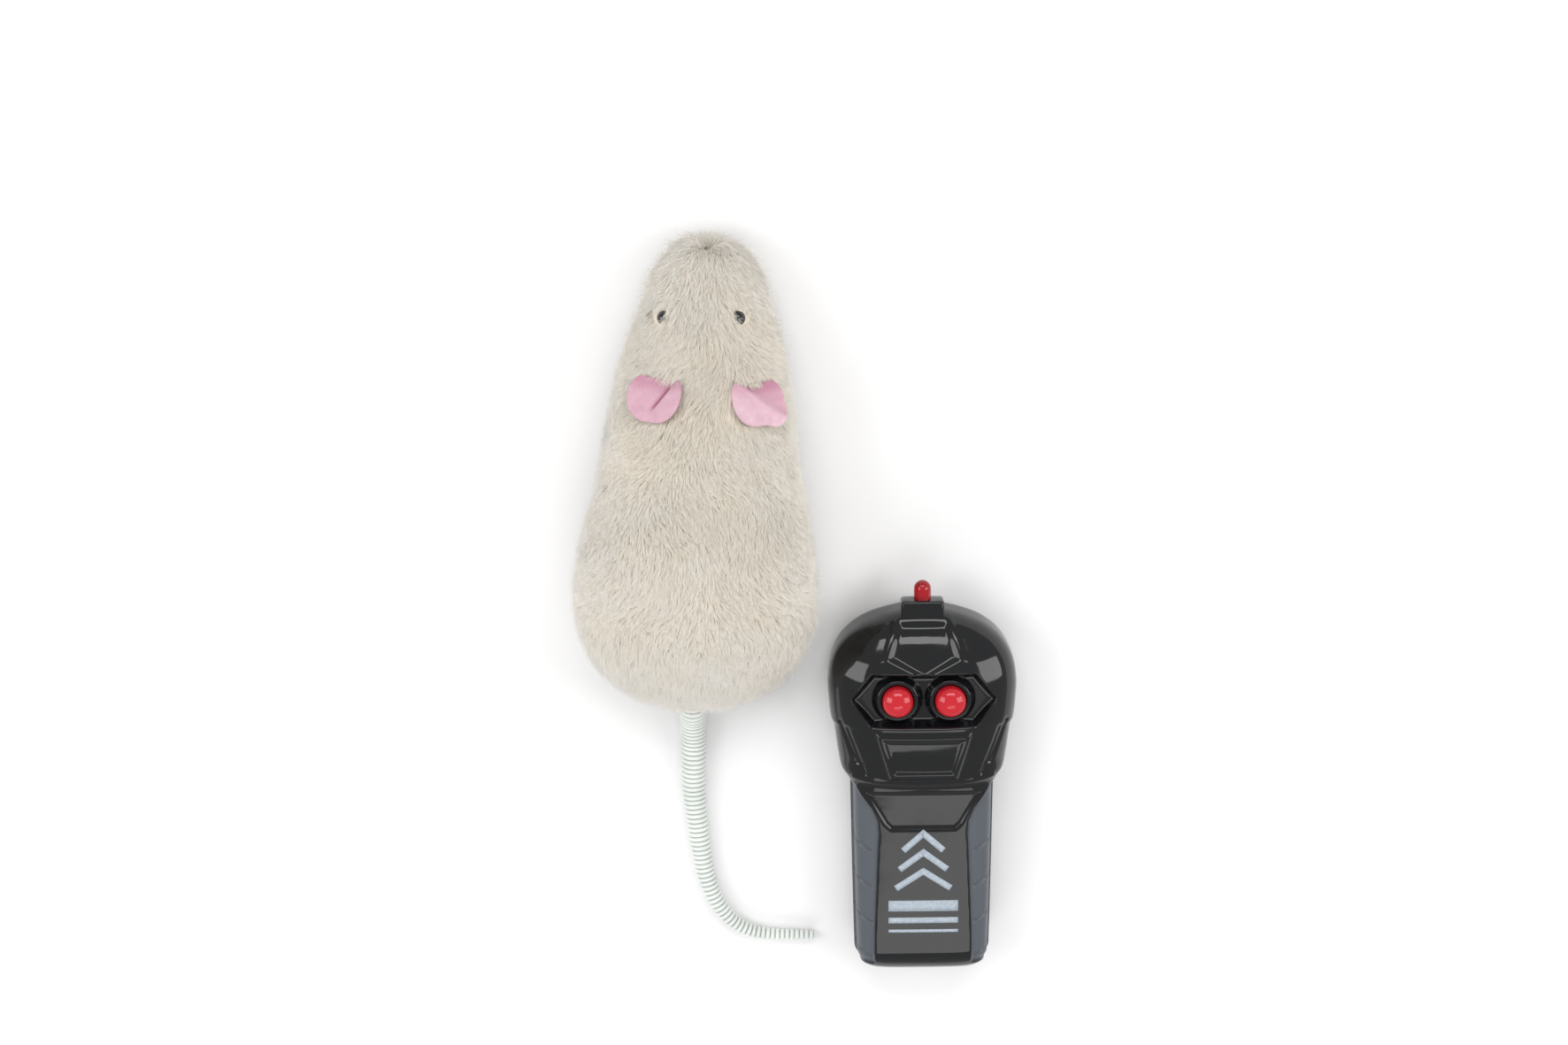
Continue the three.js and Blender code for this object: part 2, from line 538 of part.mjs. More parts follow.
const motorCan = () => {
  const [back, front] = [motorFace - motor.length, motorFace];
  const flats = layer(motorAt[2] - motor.high / 2, motorAt[2] + motor.high / 2);
  const can = rod("x", motor.wide / 2, back, front, motorAt, motor.sides).intersect(flats);
  const boss = rod("x", motor.boss, front - overrun, front + motor.bossLong, motorAt);
  const endCap = rod("x", motor.boss, back - motor.endCap, back + overrun, motorAt);
  const bore = rod("x", motor.shaft + runGap, front - motor.shaftIn - seatGap, reach, motorAt);
  return named("motor", cut(join(can, boss, endCap), bore), steel);
};

const gearboxPlate = () => {
  const [x0, x1] = [plate.x, plate.x + plate.thick];
  const foot = bayBack - plate.behindBay;
  const sheet = join(
    block(x0, x1, axle.y - plate.behindAxle, foot, floorTop + runGap, plate.top),
    block(x0, x1, foot - overrun, motorAt[1] + motor.wide / 2, mouseBay.sideHigh, plate.top),
  );
  return named("gearbox_plate", cut(
    sheet,
    rod("x", motor.boss + runGap, 0, reach, motorAt),
    rod("x", idler.pin + gear.pressGap, x0, x1 + overrun, idlerAt),
    rod("x", axle.radius + runGap, 0, reach, axleAt),
  ), white);
};

// Wheels: a dished hub on the axle, and a treaded tyre round it
const wheelHub = (name, sign) => {
  const rim = wheel.radius - wheel.tyre;
  const profile = [
    [0, wheelIn], [rim, wheelIn], [rim, wheelOut], [rim - wheel.dish, wheelOut],
    [rim - 2 * wheel.dish, wheelOut - wheel.dish], [wheel.hub, wheelOut - wheel.dish], [wheel.hub, wheelOut],
    [0, wheelOut],
  ];
  const disc = turned(profile, wheel.sides).rotateZ(-Math.PI / 2).translate(0, axle.y, axleZ);
  const bore = axleHole(0, wheelOut - wheel.dish + seatGap);
  return named(name, mirrored(cut(solid(disc), bore), sign), white);
};
const tyreRing = (name, sign) => {
  const [inner, outer] = [wheel.radius - wheel.tyre + gear.pressGap, wheel.radius];
  const [a, b] = [wheelIn + wheel.shoulder, wheelOut - wheel.shoulder];
  const profile = [
    [inner, a], [outer - wheel.shoulder, a], [outer, a + wheel.shoulder], [outer, b - wheel.shoulder],
    [outer - wheel.shoulder, b], [inner, b], [inner, a],
  ];
  const ring = solid(turned(profile, wheel.sides).rotateZ(-Math.PI / 2).translate(0, axle.y, axleZ));
  const nicks = Array.from({ length: wheel.treadCount }, (_, i) => {
    const turn = (2 * Math.PI * (i + 0.5)) / wheel.treadCount;
    const shape = new THREE.BoxGeometry(wheel.width + overrun, 2 * wheel.tread, wheel.tread);
    const nick = shape.translate(0, 0, outer).rotateX(turn).translate((a + b) / 2, axle.y, axleZ);
    return solid(nick);
  });
  return named(name, mirrored(cut(ring, ...nicks), sign), rubber);
};
const mirrored = (shape, sign) => (sign < 0 ? shape.mirror([1, 0, 0]) : shape);

// Caster: a fork on a post that swivels in the housing, and its wheel
const casterAt = [0, caster.y - caster.trail, caster.wheel];
const cheekIn = caster.width / 2 + seatGap;
const cheekOut = cheekIn + caster.ear;
const casterFork = () => {
  const top = housing.parting - seatGap;
  const under = top - caster.plate;
  const disc = rod("z", caster.plateRadius, under, top, [0, caster.y, 0], caster.sides);
  const arm = block(-cheekOut, cheekOut, casterAt[1] - caster.earHalf, caster.y, under, top);
  const postRod = rod("z", caster.post, under, top + caster.postLong, [0, caster.y, 0]);
  const cheeks = [-cheekOut, cheekIn].map((x) => {
    const [back, front] = [casterAt[1] - caster.earHalf, casterAt[1] + caster.earHalf];
    const leg = block(x, x + caster.ear, back, front, caster.wheel, under + caster.plate / 2);
    return join(leg, rod("x", caster.earHalf, x, x + caster.ear, casterAt));
  });
  const bore = rod("x", caster.pin + gear.pressGap, -reach, reach, casterAt);
  return named("caster_fork", cut(join(disc, arm, postRod, ...cheeks), bore), mattBlack);
};
const casterPin = () => named("caster_pin", rod("x", caster.pin, -cheekOut, cheekOut, casterAt), steel);
const casterWheel = () => {
  const half = caster.width / 2;
  const profile = [[0, -half], [caster.wheel - wheel.tread, -half], [caster.wheel, -half + wheel.tread],
    [caster.wheel, half - wheel.tread], [caster.wheel - wheel.tread, half], [0, half]];
  const disc = solid(turned(profile, caster.sides).rotateZ(-Math.PI / 2).translate(...casterAt));
  return named("caster_wheel", cut(disc, rod("x", caster.pin + runGap / 2, -reach, reach, casterAt)), rubber);
};

// Cells, with their raised positive cap, along Y
const cellAlongY = (name, size, at, sign) => {
  const half = size.length / 2;
  const neck = half - size.capLength;
  const profile = [
    [0, -half], [size.radius, -half], [size.radius, neck], [size.cap, neck], [size.cap, half], [0, half],
  ];
  const can = turned(profile, cellSides);
  if (sign < 0) can.rotateZ(Math.PI);
  return named(name, solid(can.translate(...at)), jacket);
};

// Contacts: a sheet-metal plate with a pressed bump at each cell
const contactPlate = (name, halfWide, z0, z1, y, facing, bumps) => {
  const sheet = block(-halfWide, halfWide, y - contact.thick / 2, y + contact.thick / 2, z0, z1);
  const pressed = bumps.map(([x, z, high]) => {
    const cone = new THREE.CylinderGeometry(contact.tip, contact.bump, high, contact.sides);
    cone.translate(0, high / 2, 0);
    if (facing < 0) cone.rotateX(Math.PI);
    return solid(cone.translate(x, y, z));
  });
  return named(name, join(sheet, ...pressed), steel);
};
const mouseContact = (name, y, facing) => {
  const bumps = [-1, 0, 1].map((i) => [i * mouseBay.pitch, cellZ, mouseBay.end - contact.back - seatGap]);
  const half = mouseBay.pitch + contact.bump + contact.tip;
  return contactPlate(name, half, floorTop + seatGap, mouseBay.endHigh, y, facing, bumps);
};

// A pan-head screw that points up, its driver slot below
const panScrew = (name, at, under, size, long) => {
  const profile = [[0, under - size.headHigh], [size.head * headRoundShare, under - size.headHigh],
    [size.head, under - size.headHigh / 2], [size.head, under], [size.shank, under],
    [size.shank, under + long - size.shank], [0, under + long]];
  const shape = solid(turned(profile, size.sides).rotateX(Math.PI / 2).translate(at[0], at[1], 0));
  const slot = block(at[0] - size.head - overrun, at[0] + size.head + overrun, at[1] - size.slot / 2,
    at[1] + size.slot / 2, under - size.headHigh - overrun, under - size.headHigh + size.slotDeep);
  return named(name, cut(shape, slot), steel);
};

const mouseDoor = () => {
  const half = doorHalf - runGap;
  const leaf = block(-half, half, doorBack + runGap, doorFront - runGap, tray.bottom, floorTop);
  const ribs = Array.from({ length: door.ribCount }, (_, i) => {
    const y = doorFront - door.ribFirst - i * door.ribPitch;
    const [low, high] = [tray.bottom - overrun, tray.bottom + door.ribDeep];
    return block(-door.ribHalf, door.ribHalf, y - door.ribWide, y, low, high);
  });
  const tongue = block(-doorScrew.ear, doorScrew.ear, doorScrewY - doorScrew.ear, doorBack + 2 * runGap,
    tray.bottom, tray.bottom + doorScrew.earThick);
  const hole = rod("z", screw.shank + runGap, -overrun, reach, [0, doorScrewY, 0]);
  return named("mouse_battery_door", cut(join(leaf, tongue), ...ribs, hole), mattBlack);
};

// Power switch: a can with a slot, and the slider that pokes through the floor
const switchBody = () => {
  const [halfLong, halfWide] = [toggle.long / 2, toggle.wide / 2];
  const x = toggle.x + toggle.travel / 2;
  const can = block(x - halfLong, x + halfLong, toggle.y - halfWide, toggle.y + halfWide, floorTop + runGap,
    floorTop + toggle.high);
  const inLong = halfLong - toggle.wall;
  const inWide = halfWide - toggle.wall;
  const hollow = block(x - inLong, x + inLong, toggle.y - inWide, toggle.y + inWide, 0,
    floorTop + 2 * runGap + toggle.flange + toggle.play);
  return named("power_switch", cut(can, hollow), steel);
};
const switchSlider = () => {
  const [halfLong, halfWide] = [toggle.knobLong / 2, toggle.knobWide / 2];
  const knob = block(toggle.x - halfLong, toggle.x + halfLong, toggle.y - halfWide, toggle.y + halfWide,
    tray.bottom - toggle.knobDrop, floorTop + runGap + toggle.flange);
  const flange = block(toggle.x - halfLong - toggle.flangeOut, toggle.x + halfLong + toggle.flangeOut,
    toggle.y - halfWide - toggle.flangeOut, toggle.y + halfWide + toggle.flangeOut, floorTop + runGap,
    floorTop + runGap + toggle.flange);
  return named("switch_slider", join(knob, flange), white);
};

// Receiver board, its chip and the wires
const boardHalf = bayHalf + mouseBay.wall / 2;
const receiverBoard = () => named("receiver_board", block(
  -boardHalf, boardHalf, boardBack, boardFront, boardZ, boardZ + board.thick,
), green);
const chipOn = (name, at, size) => named(name, block(
  at[0] - size.chipWide / 2, at[0] + size.chipWide / 2, at[1] - size.chipLong / 2, at[1] + size.chipLong / 2,
  at[2], at[2] + size.chipHigh,
), mattBlack);
const wireAlong = (name, points, material) => {
  const knots = points.map((point) => new THREE.Vector3(...point));
  const extrudePath = new THREE.CatmullRomCurve3(knots, false, "centripetal");
  const section = new THREE.Shape();
  Array.from({ length: lead.sides }, (_, i) => (2 * Math.PI * i) / lead.sides).forEach((angle, i) => {
    const [x, y] = [lead.radius * Math.cos(angle), lead.radius * Math.sin(angle)];
    if (i) section.lineTo(x, y);
    else section.moveTo(x, y);
  });
  section.closePath();
  const sweep = { steps: lead.steps, bevelEnabled: false, extrudePath };
  return named(name, solid(new THREE.ExtrudeGeometry(section, sweep)), material);
};
const motorLead = (name, sign, material) => {
  const back = motorFace - motor.length - motor.endCap - lead.radius - runGap;
  const [y, z] = [motorAt[1] + sign * lead.spread, motorAt[2] + sign * lead.spread];
  const top = boardZ + board.thick + lead.radius + runGap;
  const landing = boardBack + lead.gap;
  const x = -lead.rise + (sign - 1) * lead.gap;
  return wireAlong(name, [
    [back, y, z], [back, y + lead.gap, z + lead.radius], [(back + x) / 2, landing - 2 * lead.gap, z],
    [x, landing - lead.gap / 2, top + lead.gap], [x, landing + lead.gap, top],
  ], material);
};
const aerialWire = () => {
  const top = boardZ + board.thick;
  const y = board.y + board.long / 4;
  return wireAlong("receiver_aerial", [
    [-lead.rise, y, top + lead.radius + runGap], [-lead.rise, y + lead.gap, top + lead.gap],
    [0, y + lead.gap, top + lead.rise], [lead.rise, y + lead.gap, top + lead.rise],
    [lead.rise, y, top + lead.gap],
  ], white);
};

// Tail: plug, smooth neck, then ribs that shrink to the tip, with a blind bore
const tailPiece = () => {
  const route = tailRoute.map(([x, y, z]) => new THREE.Vector3(x, tailPivot.y + y, tailPivot.z + z));
  const path = new THREE.CatmullRomCurve3(route, false, "centripetal");
  const long = path.getLength();
  const ribbed = long - tail.neckLong;
  const pitch = ribbed / tail.ribCount;
  const radiusAt = (at) => {
    const share = Math.max(at - tail.neckLong, 0) / ribbed;
    const { lerp } = THREE.MathUtils;
    if (share < tailMiddleShare) return lerp(tail.root, tail.middle, share / tailMiddleShare);
    return lerp(tail.middle, tail.tip, (share - tailMiddleShare) / (1 - tailMiddleShare));
  };
  const ring = (at, radius) => {
    const share = Math.min(at / long, 1);
    const centre = path.getPointAt(share);
    const along = path.getTangentAt(share);
    const across = along.clone().cross(new THREE.Vector3(0, 0, 1)).normalize();
    const up = across.clone().cross(along);
    centre.z = Math.max(centre.z, radiusAt(at) + tail.lift);
    return Array.from({ length: tail.sides }, (_, i) => {
      const angle = (2 * Math.PI * i) / tail.sides;
      const point = centre.clone().addScaledVector(across, radius * Math.cos(angle));
      return point.addScaledVector(up, radius * Math.sin(angle)).toArray();
    });
  };
  const outer = [
    ring(0, tail.plug), ring(tail.plugThick, tail.plug), ring(tail.plugThick + tail.lift, tail.neck),
    ...neckShares.map((share) => ring(share * tail.neckLong, tail.neck)),
  ];
  for (let rib = 0; rib < tail.ribCount; rib++) {
    const start = tail.neckLong + rib * pitch;
    const crest = radiusAt(start);
    outer.push(ring(start, crest - Math.min(tail.valley, crest * ribValleyShare)));
    outer.push(ring(start + pitch / 2, crest));
  }
  outer.push(ring(long, tail.tip * ribValleyShare));
  const bore = [];
  const boreEnd = long * tailBoreShare;
  const boreRings = Math.ceil(tail.ribCount / tail.boreStep) + tail.boreExtra;
  for (let i = 0; i <= boreRings; i++) bore.push(ring((boreEnd * i) / boreRings, tail.bore));
  return named("tail", loft([...bore.reverse(), ...outer]), softWhite);
};

// The remote's body, drawn in by an inset: a slim grip that swells into a domed head
const remoteForm = (drawnIn) => {
  const inner = drawnIn > remote.wall / 3;
  const stations = inner ? spread(remote.innerStations) : remoteStationShares;
  const points = inner ? remote.innerPoints : remote.sectionPoints;
  const rings = stations.map((share) => {
    const y = drawnIn + share * (remote.length - 2 * drawnIn);
    const half = (readShares(remoteWidthShares, share) * remote.width) / 2 - drawnIn;
    const top = readShares(remoteTopShares, share) * remote.height - drawnIn;
    const back = Math.max(readShares(remoteBackShares, share), 0) * remote.height + drawnIn;
    const blend = THREE.MathUtils.smoothstep(share, blendShares[0], blendShares[1]);
    const frontPower = gripPower + (headPower - gripPower) * blend;
    return Array.from({ length: points }, (_, i) => {
      const angle = (2 * Math.PI * i) / points;
      const above = Math.sin(angle) >= 0;
      const power = above ? frontPower : backPower;
      const lift = bent(Math.sin(angle), power);
      const fall = (remote.parting - back) * Math.max(lift * backFlatShare, -1);
      const rise = above ? (top - remote.parting) * lift : fall;
      return [half * bent(Math.cos(angle), power), y, remote.parting + rise];
    });
  });
  return loft(rings);
};
const across = remote.width;
const slab = (z0, z1) => block(-across, across, -across, remote.length + across, z0, z1);
const recessOutline = (grow) => {
  const [wide, shoulder, half] = [recess.wide + grow, recess.shoulder + grow / 2, recess.halfLong + grow];
  return [[-wide, 0], [-shoulder, -half], [shoulder, -half], [wide, 0], [shoulder, half], [-shoulder, half]]
    .map(([x, y]) => [x, y + recess.y]);
};
const recessFloor = remote.height - recess.depth;
const flangeTop = recessFloor - remote.wall - runGap;
const padTop = flangeTop - button.flangeThick - button.travel - runGap;
const padBase = padTop - pad.domeHigh - pad.thick;
const remoteBoardTop = padBase - runGap;
const remoteBoardLow = remoteBoardTop - remoteBoard.thick;
const remoteBoardFoot = Math.max(remoteBayFront + remoteBoard.bayGap, remote.length - headTo.boardFoot);
const remoteBoardHead = remote.length - headTo.boardTop;
const doorEnd = remoteBayFront + remoteDoor.past;
const clearOfAll = 2 * remote.height;
const lensAt = [0, 0, remote.parting + (tab.low + tab.high) / 2];
const shellTop = remote.length;

// A straight bar across the outline, from one point to another
const bar = (from, to, wide, z0, z1) => {
  const [dx, dy] = [to[0] - from[0], to[1] - from[1]];
  const long = Math.hypot(dx, dy);
  const [nx, ny] = [(-dy / long) * (wide / 2), (dx / long) * (wide / 2)];
  return prism([[from[0] + nx, from[1] + ny], [from[0] - nx, from[1] - ny], [to[0] - nx, to[1] - ny],
    [to[0] + nx, to[1] + ny]], z0, z1);
};

const screwPlaces = [-1, 1].map((side) => [side * remoteScrew.x, remoteScrew.y, 0]);
const frontShell = () => {
  const outer = remoteForm(0);
  const above = slab(remote.parting + runGap, clearOfAll);
  const tabBlock = block(-tab.halfWide, tab.halfWide, shellTop - headTo.tab, shellTop + tab.out,
    remote.parting + tab.low, remote.parting + tab.high);
  const cavity = remoteForm(remote.wall);
  const tub = prism(recessOutline(remote.wall), recessFloor - remote.wall, clearOfAll).intersect(outer);
  const collarProfile = [
    [0, -remote.wall / 2], [collar.base, -remote.wall / 2], [collar.base, 0], [collar.top, collar.high],
    [0, collar.high],
  ];
  const collars = [-1, 1].map((side) => {
    const ring = turned(collarProfile, button.sides).rotateX(Math.PI / 2);
    return solid(ring.translate(side * button.x, recess.y, recessFloor));
  });
  const bosses = screwPlaces.map((at) => (
    rod("z", remoteScrew.boss, remote.parting + runGap, clearOfAll, at).intersect(remoteForm(remote.wall / 2))
  ));
  const hollow = cut(outer.intersect(above), cavity);
  const whole = join(hollow, tabBlock.subtract(cavity), tub, ...bosses);
  const emptied = cut(whole, prism(recessOutline(0), recessFloor, clearOfAll));
  const bores = [-1, 1].map((side) => (
    rod("z", button.radius + 2 * runGap, 0, clearOfAll, [side * button.x, recess.y, 0], button.sides)
  ));
  const pilots = screwPlaces.map((at) => rod("z", housing.pilot, 0, remote.parting + screw.long, at));
  return named("remote_front_shell", cut(
    join(emptied, ...collars), ...bores, ...pilots, ...crownGrooves(), ...gripShaping(), lensBore(),
  ), glossBlack);
};

// Grooves that part the crown into three panels
const crownGrooves = () => {
  const skin = cut(remoteForm(-groove.deep), remoteForm(groove.deep));
  const [topY, bendY] = [shellTop - headTo.crownTop, shellTop - headTo.crownBend];
  return [-1, 1].flatMap((side) => [
    [[side * crownPanel.halfTop, topY], [side * crownPanel.halfBend, bendY]],
    [[side * crownPanel.halfBend, bendY], [side * crownPanel.halfTop, recess.y + recess.halfLong]],
  ]).map(([from, to]) => bar(from, to, groove.wide, remote.parting, clearOfAll).intersect(skin));
};

// The grip: side facets set below a waisted front panel, each with slanted cuts
const gripShaping = () => {
  const skin = (deep) => cut(remoteForm(-deep), remoteForm(deep));
  const { foot, topHalf, waistHalf, footHalf, deep } = gripPanel;
  const [topY, waistY] = [shellTop - headTo.gripPanel, shellTop - headTo.gripWaist];
  const low = remote.parting + remote.wall;
  const facet = (side) => prism([
    [side * footHalf, foot], [side * across, foot], [side * across, topY], [side * topHalf, topY],
    [side * waistHalf, waistY],
  ], low, clearOfAll).intersect(skin(deep));
  const cuts = (side) => Array.from({ length: gripCuts.count }, (_, i) => {
    const y = gripCuts.first + i * gripCuts.pitch;
    const [from, to] = [[side * footHalf, y], [side * across, y + gripCuts.climb]];
    return bar(from, to, gripCuts.wide, low, clearOfAll).intersect(skin(deep + gripCuts.deep));
  });
  return [-1, 1].flatMap((side) => [facet(side), ...cuts(side)]);
};
const lensBack = shellTop - lens.in;
const lensBore = () => join(
  rod("y", lens.radius + runGap, lensBack, shellTop + tab.out + overrun, lensAt, lens.sides),
  rod("y", lens.flange + runGap, lensBack - overrun, lensBack + lens.flangeThick + runGap, lensAt),
);

const rearShell = () => {
  const below = slab(-overrun, remote.parting);
  const shell = cut(remoteForm(0).intersect(below), remoteForm(remote.wall));
  const inner = remoteForm(remote.wall / 2).intersect(below);
  const postRows = [remoteBoardFoot + remoteBoard.postIn, remoteBoardHead - remoteBoard.postIn];
  const posts = postRows.flatMap((y) => [-1, 1].map((side) => (
    rod("z", remoteBoard.post, remote.wall / 2, remoteBoardLow - runGap, [side * remoteBoard.postX, y, 0])
  )));
  const bosses = screwPlaces.map((at) => rod("z", remoteScrew.boss, 0, remote.parting, at).intersect(inner));
  const bores = screwPlaces.flatMap((at) => [
    rod("z", remoteScrew.bore, -overrun, reach, at),
    rod("z", remoteScrew.sink, -overrun, remoteScrew.sinkDeep, at),
  ]);
  const hatchTop = remoteDoor.lift + remoteDoor.thick + runGap;
  const { halfWide, rail, y0 } = remoteDoor;
  const hatch = join(
    block(-halfWide, halfWide, -overrun, doorEnd, -overrun, hatchTop),
    block(-halfWide + rail, halfWide - rail, y0 + rail, doorEnd - rail, 0, remote.wall + runGap),
  );
  return named("remote_rear_shell", cut(join(shell, ...posts, ...bosses), ...bores, hatch), glossBlack);
};

const remoteDoorLeaf = () => {
  const { halfWide, y0, lift, thick, ribHalf, ribLong } = remoteDoor;
  const leaf = block(-halfWide + runGap, halfWide - runGap, y0, doorEnd - runGap, lift, lift + thick);
  const ribs = Array.from({ length: remoteDoor.ribCount }, (_, i) => {
    const y = remoteDoor.ribY + i * remoteDoor.ribPitch;
    return block(-ribHalf, ribHalf, y, y + ribLong, -overrun, lift + thick / 2);
  });
  return named("remote_battery_door", cut(leaf, ...ribs), mattBlack);
};

const remoteButton = (name, side) => {
  const top = recessFloor + collar.high + button.proud;
  const dome = Array.from({ length: domeSteps + 1 }, (_, i) => {
    const angle = (Math.PI / 2) * (i / domeSteps);
    return [button.radius * Math.cos(angle), top + button.dome * Math.sin(angle)];
  });
  const low = flangeTop - button.flangeThick;
  const profile = [[0, low], [button.flange, low], [button.flange, flangeTop], [button.radius, flangeTop],
    ...dome.slice(0, -1), [0, top + button.dome]];
  const cap = turned(profile, button.sides).rotateX(Math.PI / 2);
  return named(name, solid(cap.translate(side * button.x, recess.y, 0)), red);
};

const buttonPad = () => {
  const sheet = block(-pad.halfWide, pad.halfWide, recess.y - pad.halfLong, recess.y + pad.halfLong, padBase,
    padBase + pad.thick);
  const domes = [-1, 1].map((side) => {
    const high = pad.domeHigh + pad.thick / 2;
    const shape = new THREE.CylinderGeometry(pad.dome * domeTopShare, pad.dome, high, pad.sides);
    return solid(shape.rotateX(Math.PI / 2).translate(side * button.x, recess.y, padTop - high / 2));
  });
  return named("button_pad", join(sheet, ...domes), rubber);
};

const remoteCircuit = () => {
  const half = remoteBoard.halfWide;
  const slabOf = block(-half, half, remoteBoardFoot, remoteBoardHead, remoteBoardLow, remoteBoardTop);
  return named("remote_board", slabOf, green);
};

const indicatorLens = () => {
  const tipY = shellTop + tab.out + lens.out - lens.radius;
  const round = Array.from({ length: domeSteps }, (_, i) => {
    const angle = (Math.PI / 2) * (i / domeSteps);
    return [lens.radius * Math.cos(angle), tipY + lens.radius * Math.sin(angle)];
  });
  const shoulder = lensBack + lens.flangeThick;
  const profile = [
    [0, lensBack], [lens.flange, lensBack], [lens.flange, shoulder], [lens.radius, shoulder], ...round,
    [0, tipY + lens.radius],
  ];
  return named("indicator_lens", solid(turned(profile, lens.sides).translate(...lensAt)), red);
};

const remoteContact = (name, y, facing) => {
  const low = remoteDoor.lift + remote.wall + 3 * runGap;
  const high = remoteBay.end - contact.back - seatGap;
  const bumps = [-1, 1].map((side) => [(side * remoteBay.pitch) / 2, remote.parting, high]);
  return contactPlate(name, remoteBay.pitch - seatGap, remote.parting - aa.radius + remoteBay.contactLift,
    remote.parting + aa.radius - low, y, facing, bumps);
};

const remoteAerial = () => {
  const z = remoteBoardTop + lead.radius + runGap;
  const x = -remoteBoard.halfWide + lead.radius + runGap;
  return wireAlong("remote_aerial", [
    [x, remoteBoardFoot + lead.gap, z], [x, recess.y, z], [x, remoteBoardHead - lead.gap, z],
    [x + lead.rise, remoteBoardHead - lead.gap / 2, z],
  ], white);
};

// The mouse, about its own axis
const screwUnder = tray.bottom - runGap;
const mouse = new THREE.Group();
mouse.add(
  plushSkin(), earLeaf("left_ear", ear.leftX, -1), earLeaf("right_ear", ear.rightX, 1),
  eyeBead("left_eye", leftEye), eyeBead("right_eye", rightEye), tailPiece(),
  upperHousing(), chassisTray(), motorCan(), motorShaft(), motorPinion(), idlerGear(), idlerPin(),
  axleGear(), rearAxle(), gearboxPlate(), wheelHub("left_hub", -1), wheelHub("right_hub", 1),
  tyreRing("left_tyre", -1), tyreRing("right_tyre", 1), casterFork(), casterPin(), casterWheel(),
  cellAlongY("mouse_cell_1", aaa, [-mouseBay.pitch, mouseBay.y, cellZ], -1),
  cellAlongY("mouse_cell_2", aaa, [0, mouseBay.y, cellZ], 1),
  cellAlongY("mouse_cell_3", aaa, [mouseBay.pitch, mouseBay.y, cellZ], -1),
  mouseContact("mouse_rear_contact", bayBack + contact.back, 1),
  mouseContact("mouse_front_contact", bayFront - contact.back, -1),
  mouseDoor(), panScrew("door_screw", [0, doorScrewY], screwUnder, screw, doorScrew.bossHigh),
  panScrew("front_chassis_screw", [0, frontScrewY], screwUnder, screw, screw.long),
  panScrew("rear_chassis_screw", [rearScrew.x, rearScrew.y], screwUnder, screw, screw.long),
  switchBody(), switchSlider(), receiverBoard(),
  chipOn("receiver_chip", [0, board.y, boardZ + board.thick], board), aerialWire(),
  motorLead("motor_lead_red", 1, red), motorLead("motor_lead_black", -1, mattBlack),
);

// The remote, on its back, turned slightly from the mouse's axis
const remoteCellY = remoteBay.from + remoteBay.end + aa.length / 2;
const remoteChipY = remoteBoardFoot + remoteBoard.chipLong / 2;
const remoteScrewUnder = remoteScrew.sinkDeep - runGap;
const handset = new THREE.Group();
handset.add(
  frontShell(), rearShell(), remoteDoorLeaf(), buttonPad(), remoteCircuit(), indicatorLens(), remoteAerial(),
  remoteButton("left_button", -1), remoteButton("right_button", 1),
  cellAlongY("remote_cell_1", aa, [-remoteBay.pitch / 2, remoteCellY, remote.parting], -1),
  cellAlongY("remote_cell_2", aa, [remoteBay.pitch / 2, remoteCellY, remote.parting], 1),
  remoteContact("remote_rear_contact", remoteBay.from + contact.back, 1),
  remoteContact("remote_front_contact", remoteBayFront - contact.back, -1),
  chipOn("remote_chip", [0, remoteChipY, remoteBoardLow - remoteBoard.chipHigh], remoteBoard),
  panScrew("remote_screw_left", screwPlaces[0], remoteScrewUnder, screw, remote.parting),
  panScrew("remote_screw_right", screwPlaces[1], remoteScrewUnder, screw, remote.parting),
);
handset.position.set(remote.x, remote.y, 0);
handset.rotation.z = THREE.MathUtils.degToRad(remote.turnDegrees);

// The set's origin is under the middle of its outline
const toy = new THREE.Group();
toy.add(mouse, handset);
toy.updateMatrixWorld(true);
const outline = new THREE.Box3().setFromObject(toy, true);
const middle = outline.getCenter(new THREE.Vector3());
toy.position.set(-middle.x, -middle.y, 0);

export default toy;
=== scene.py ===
"""Looks of a remote-controlled plush mouse and its handset. Metres, +Z up, +Y from the tail to the nose."""

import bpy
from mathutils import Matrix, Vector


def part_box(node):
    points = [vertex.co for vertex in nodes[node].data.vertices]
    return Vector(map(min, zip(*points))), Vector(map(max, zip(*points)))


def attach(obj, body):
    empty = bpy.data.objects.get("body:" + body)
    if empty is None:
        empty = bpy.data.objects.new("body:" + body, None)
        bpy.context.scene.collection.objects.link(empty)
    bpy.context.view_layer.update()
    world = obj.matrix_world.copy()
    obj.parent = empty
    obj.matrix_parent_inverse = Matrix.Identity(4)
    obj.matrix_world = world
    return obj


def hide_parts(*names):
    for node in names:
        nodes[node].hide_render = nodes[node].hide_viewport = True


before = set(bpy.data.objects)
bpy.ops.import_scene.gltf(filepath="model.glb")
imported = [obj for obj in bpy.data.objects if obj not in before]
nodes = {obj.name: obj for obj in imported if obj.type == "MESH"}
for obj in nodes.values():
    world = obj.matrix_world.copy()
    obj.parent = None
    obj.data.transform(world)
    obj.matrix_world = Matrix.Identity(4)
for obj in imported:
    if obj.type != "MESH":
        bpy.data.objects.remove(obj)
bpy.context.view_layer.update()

import math

import bpy
import numpy as np
from mathutils import Matrix, Vector, kdtree, noise

MM = 0.001
SHARP_EDGE = math.radians(35)
scene = bpy.context.scene

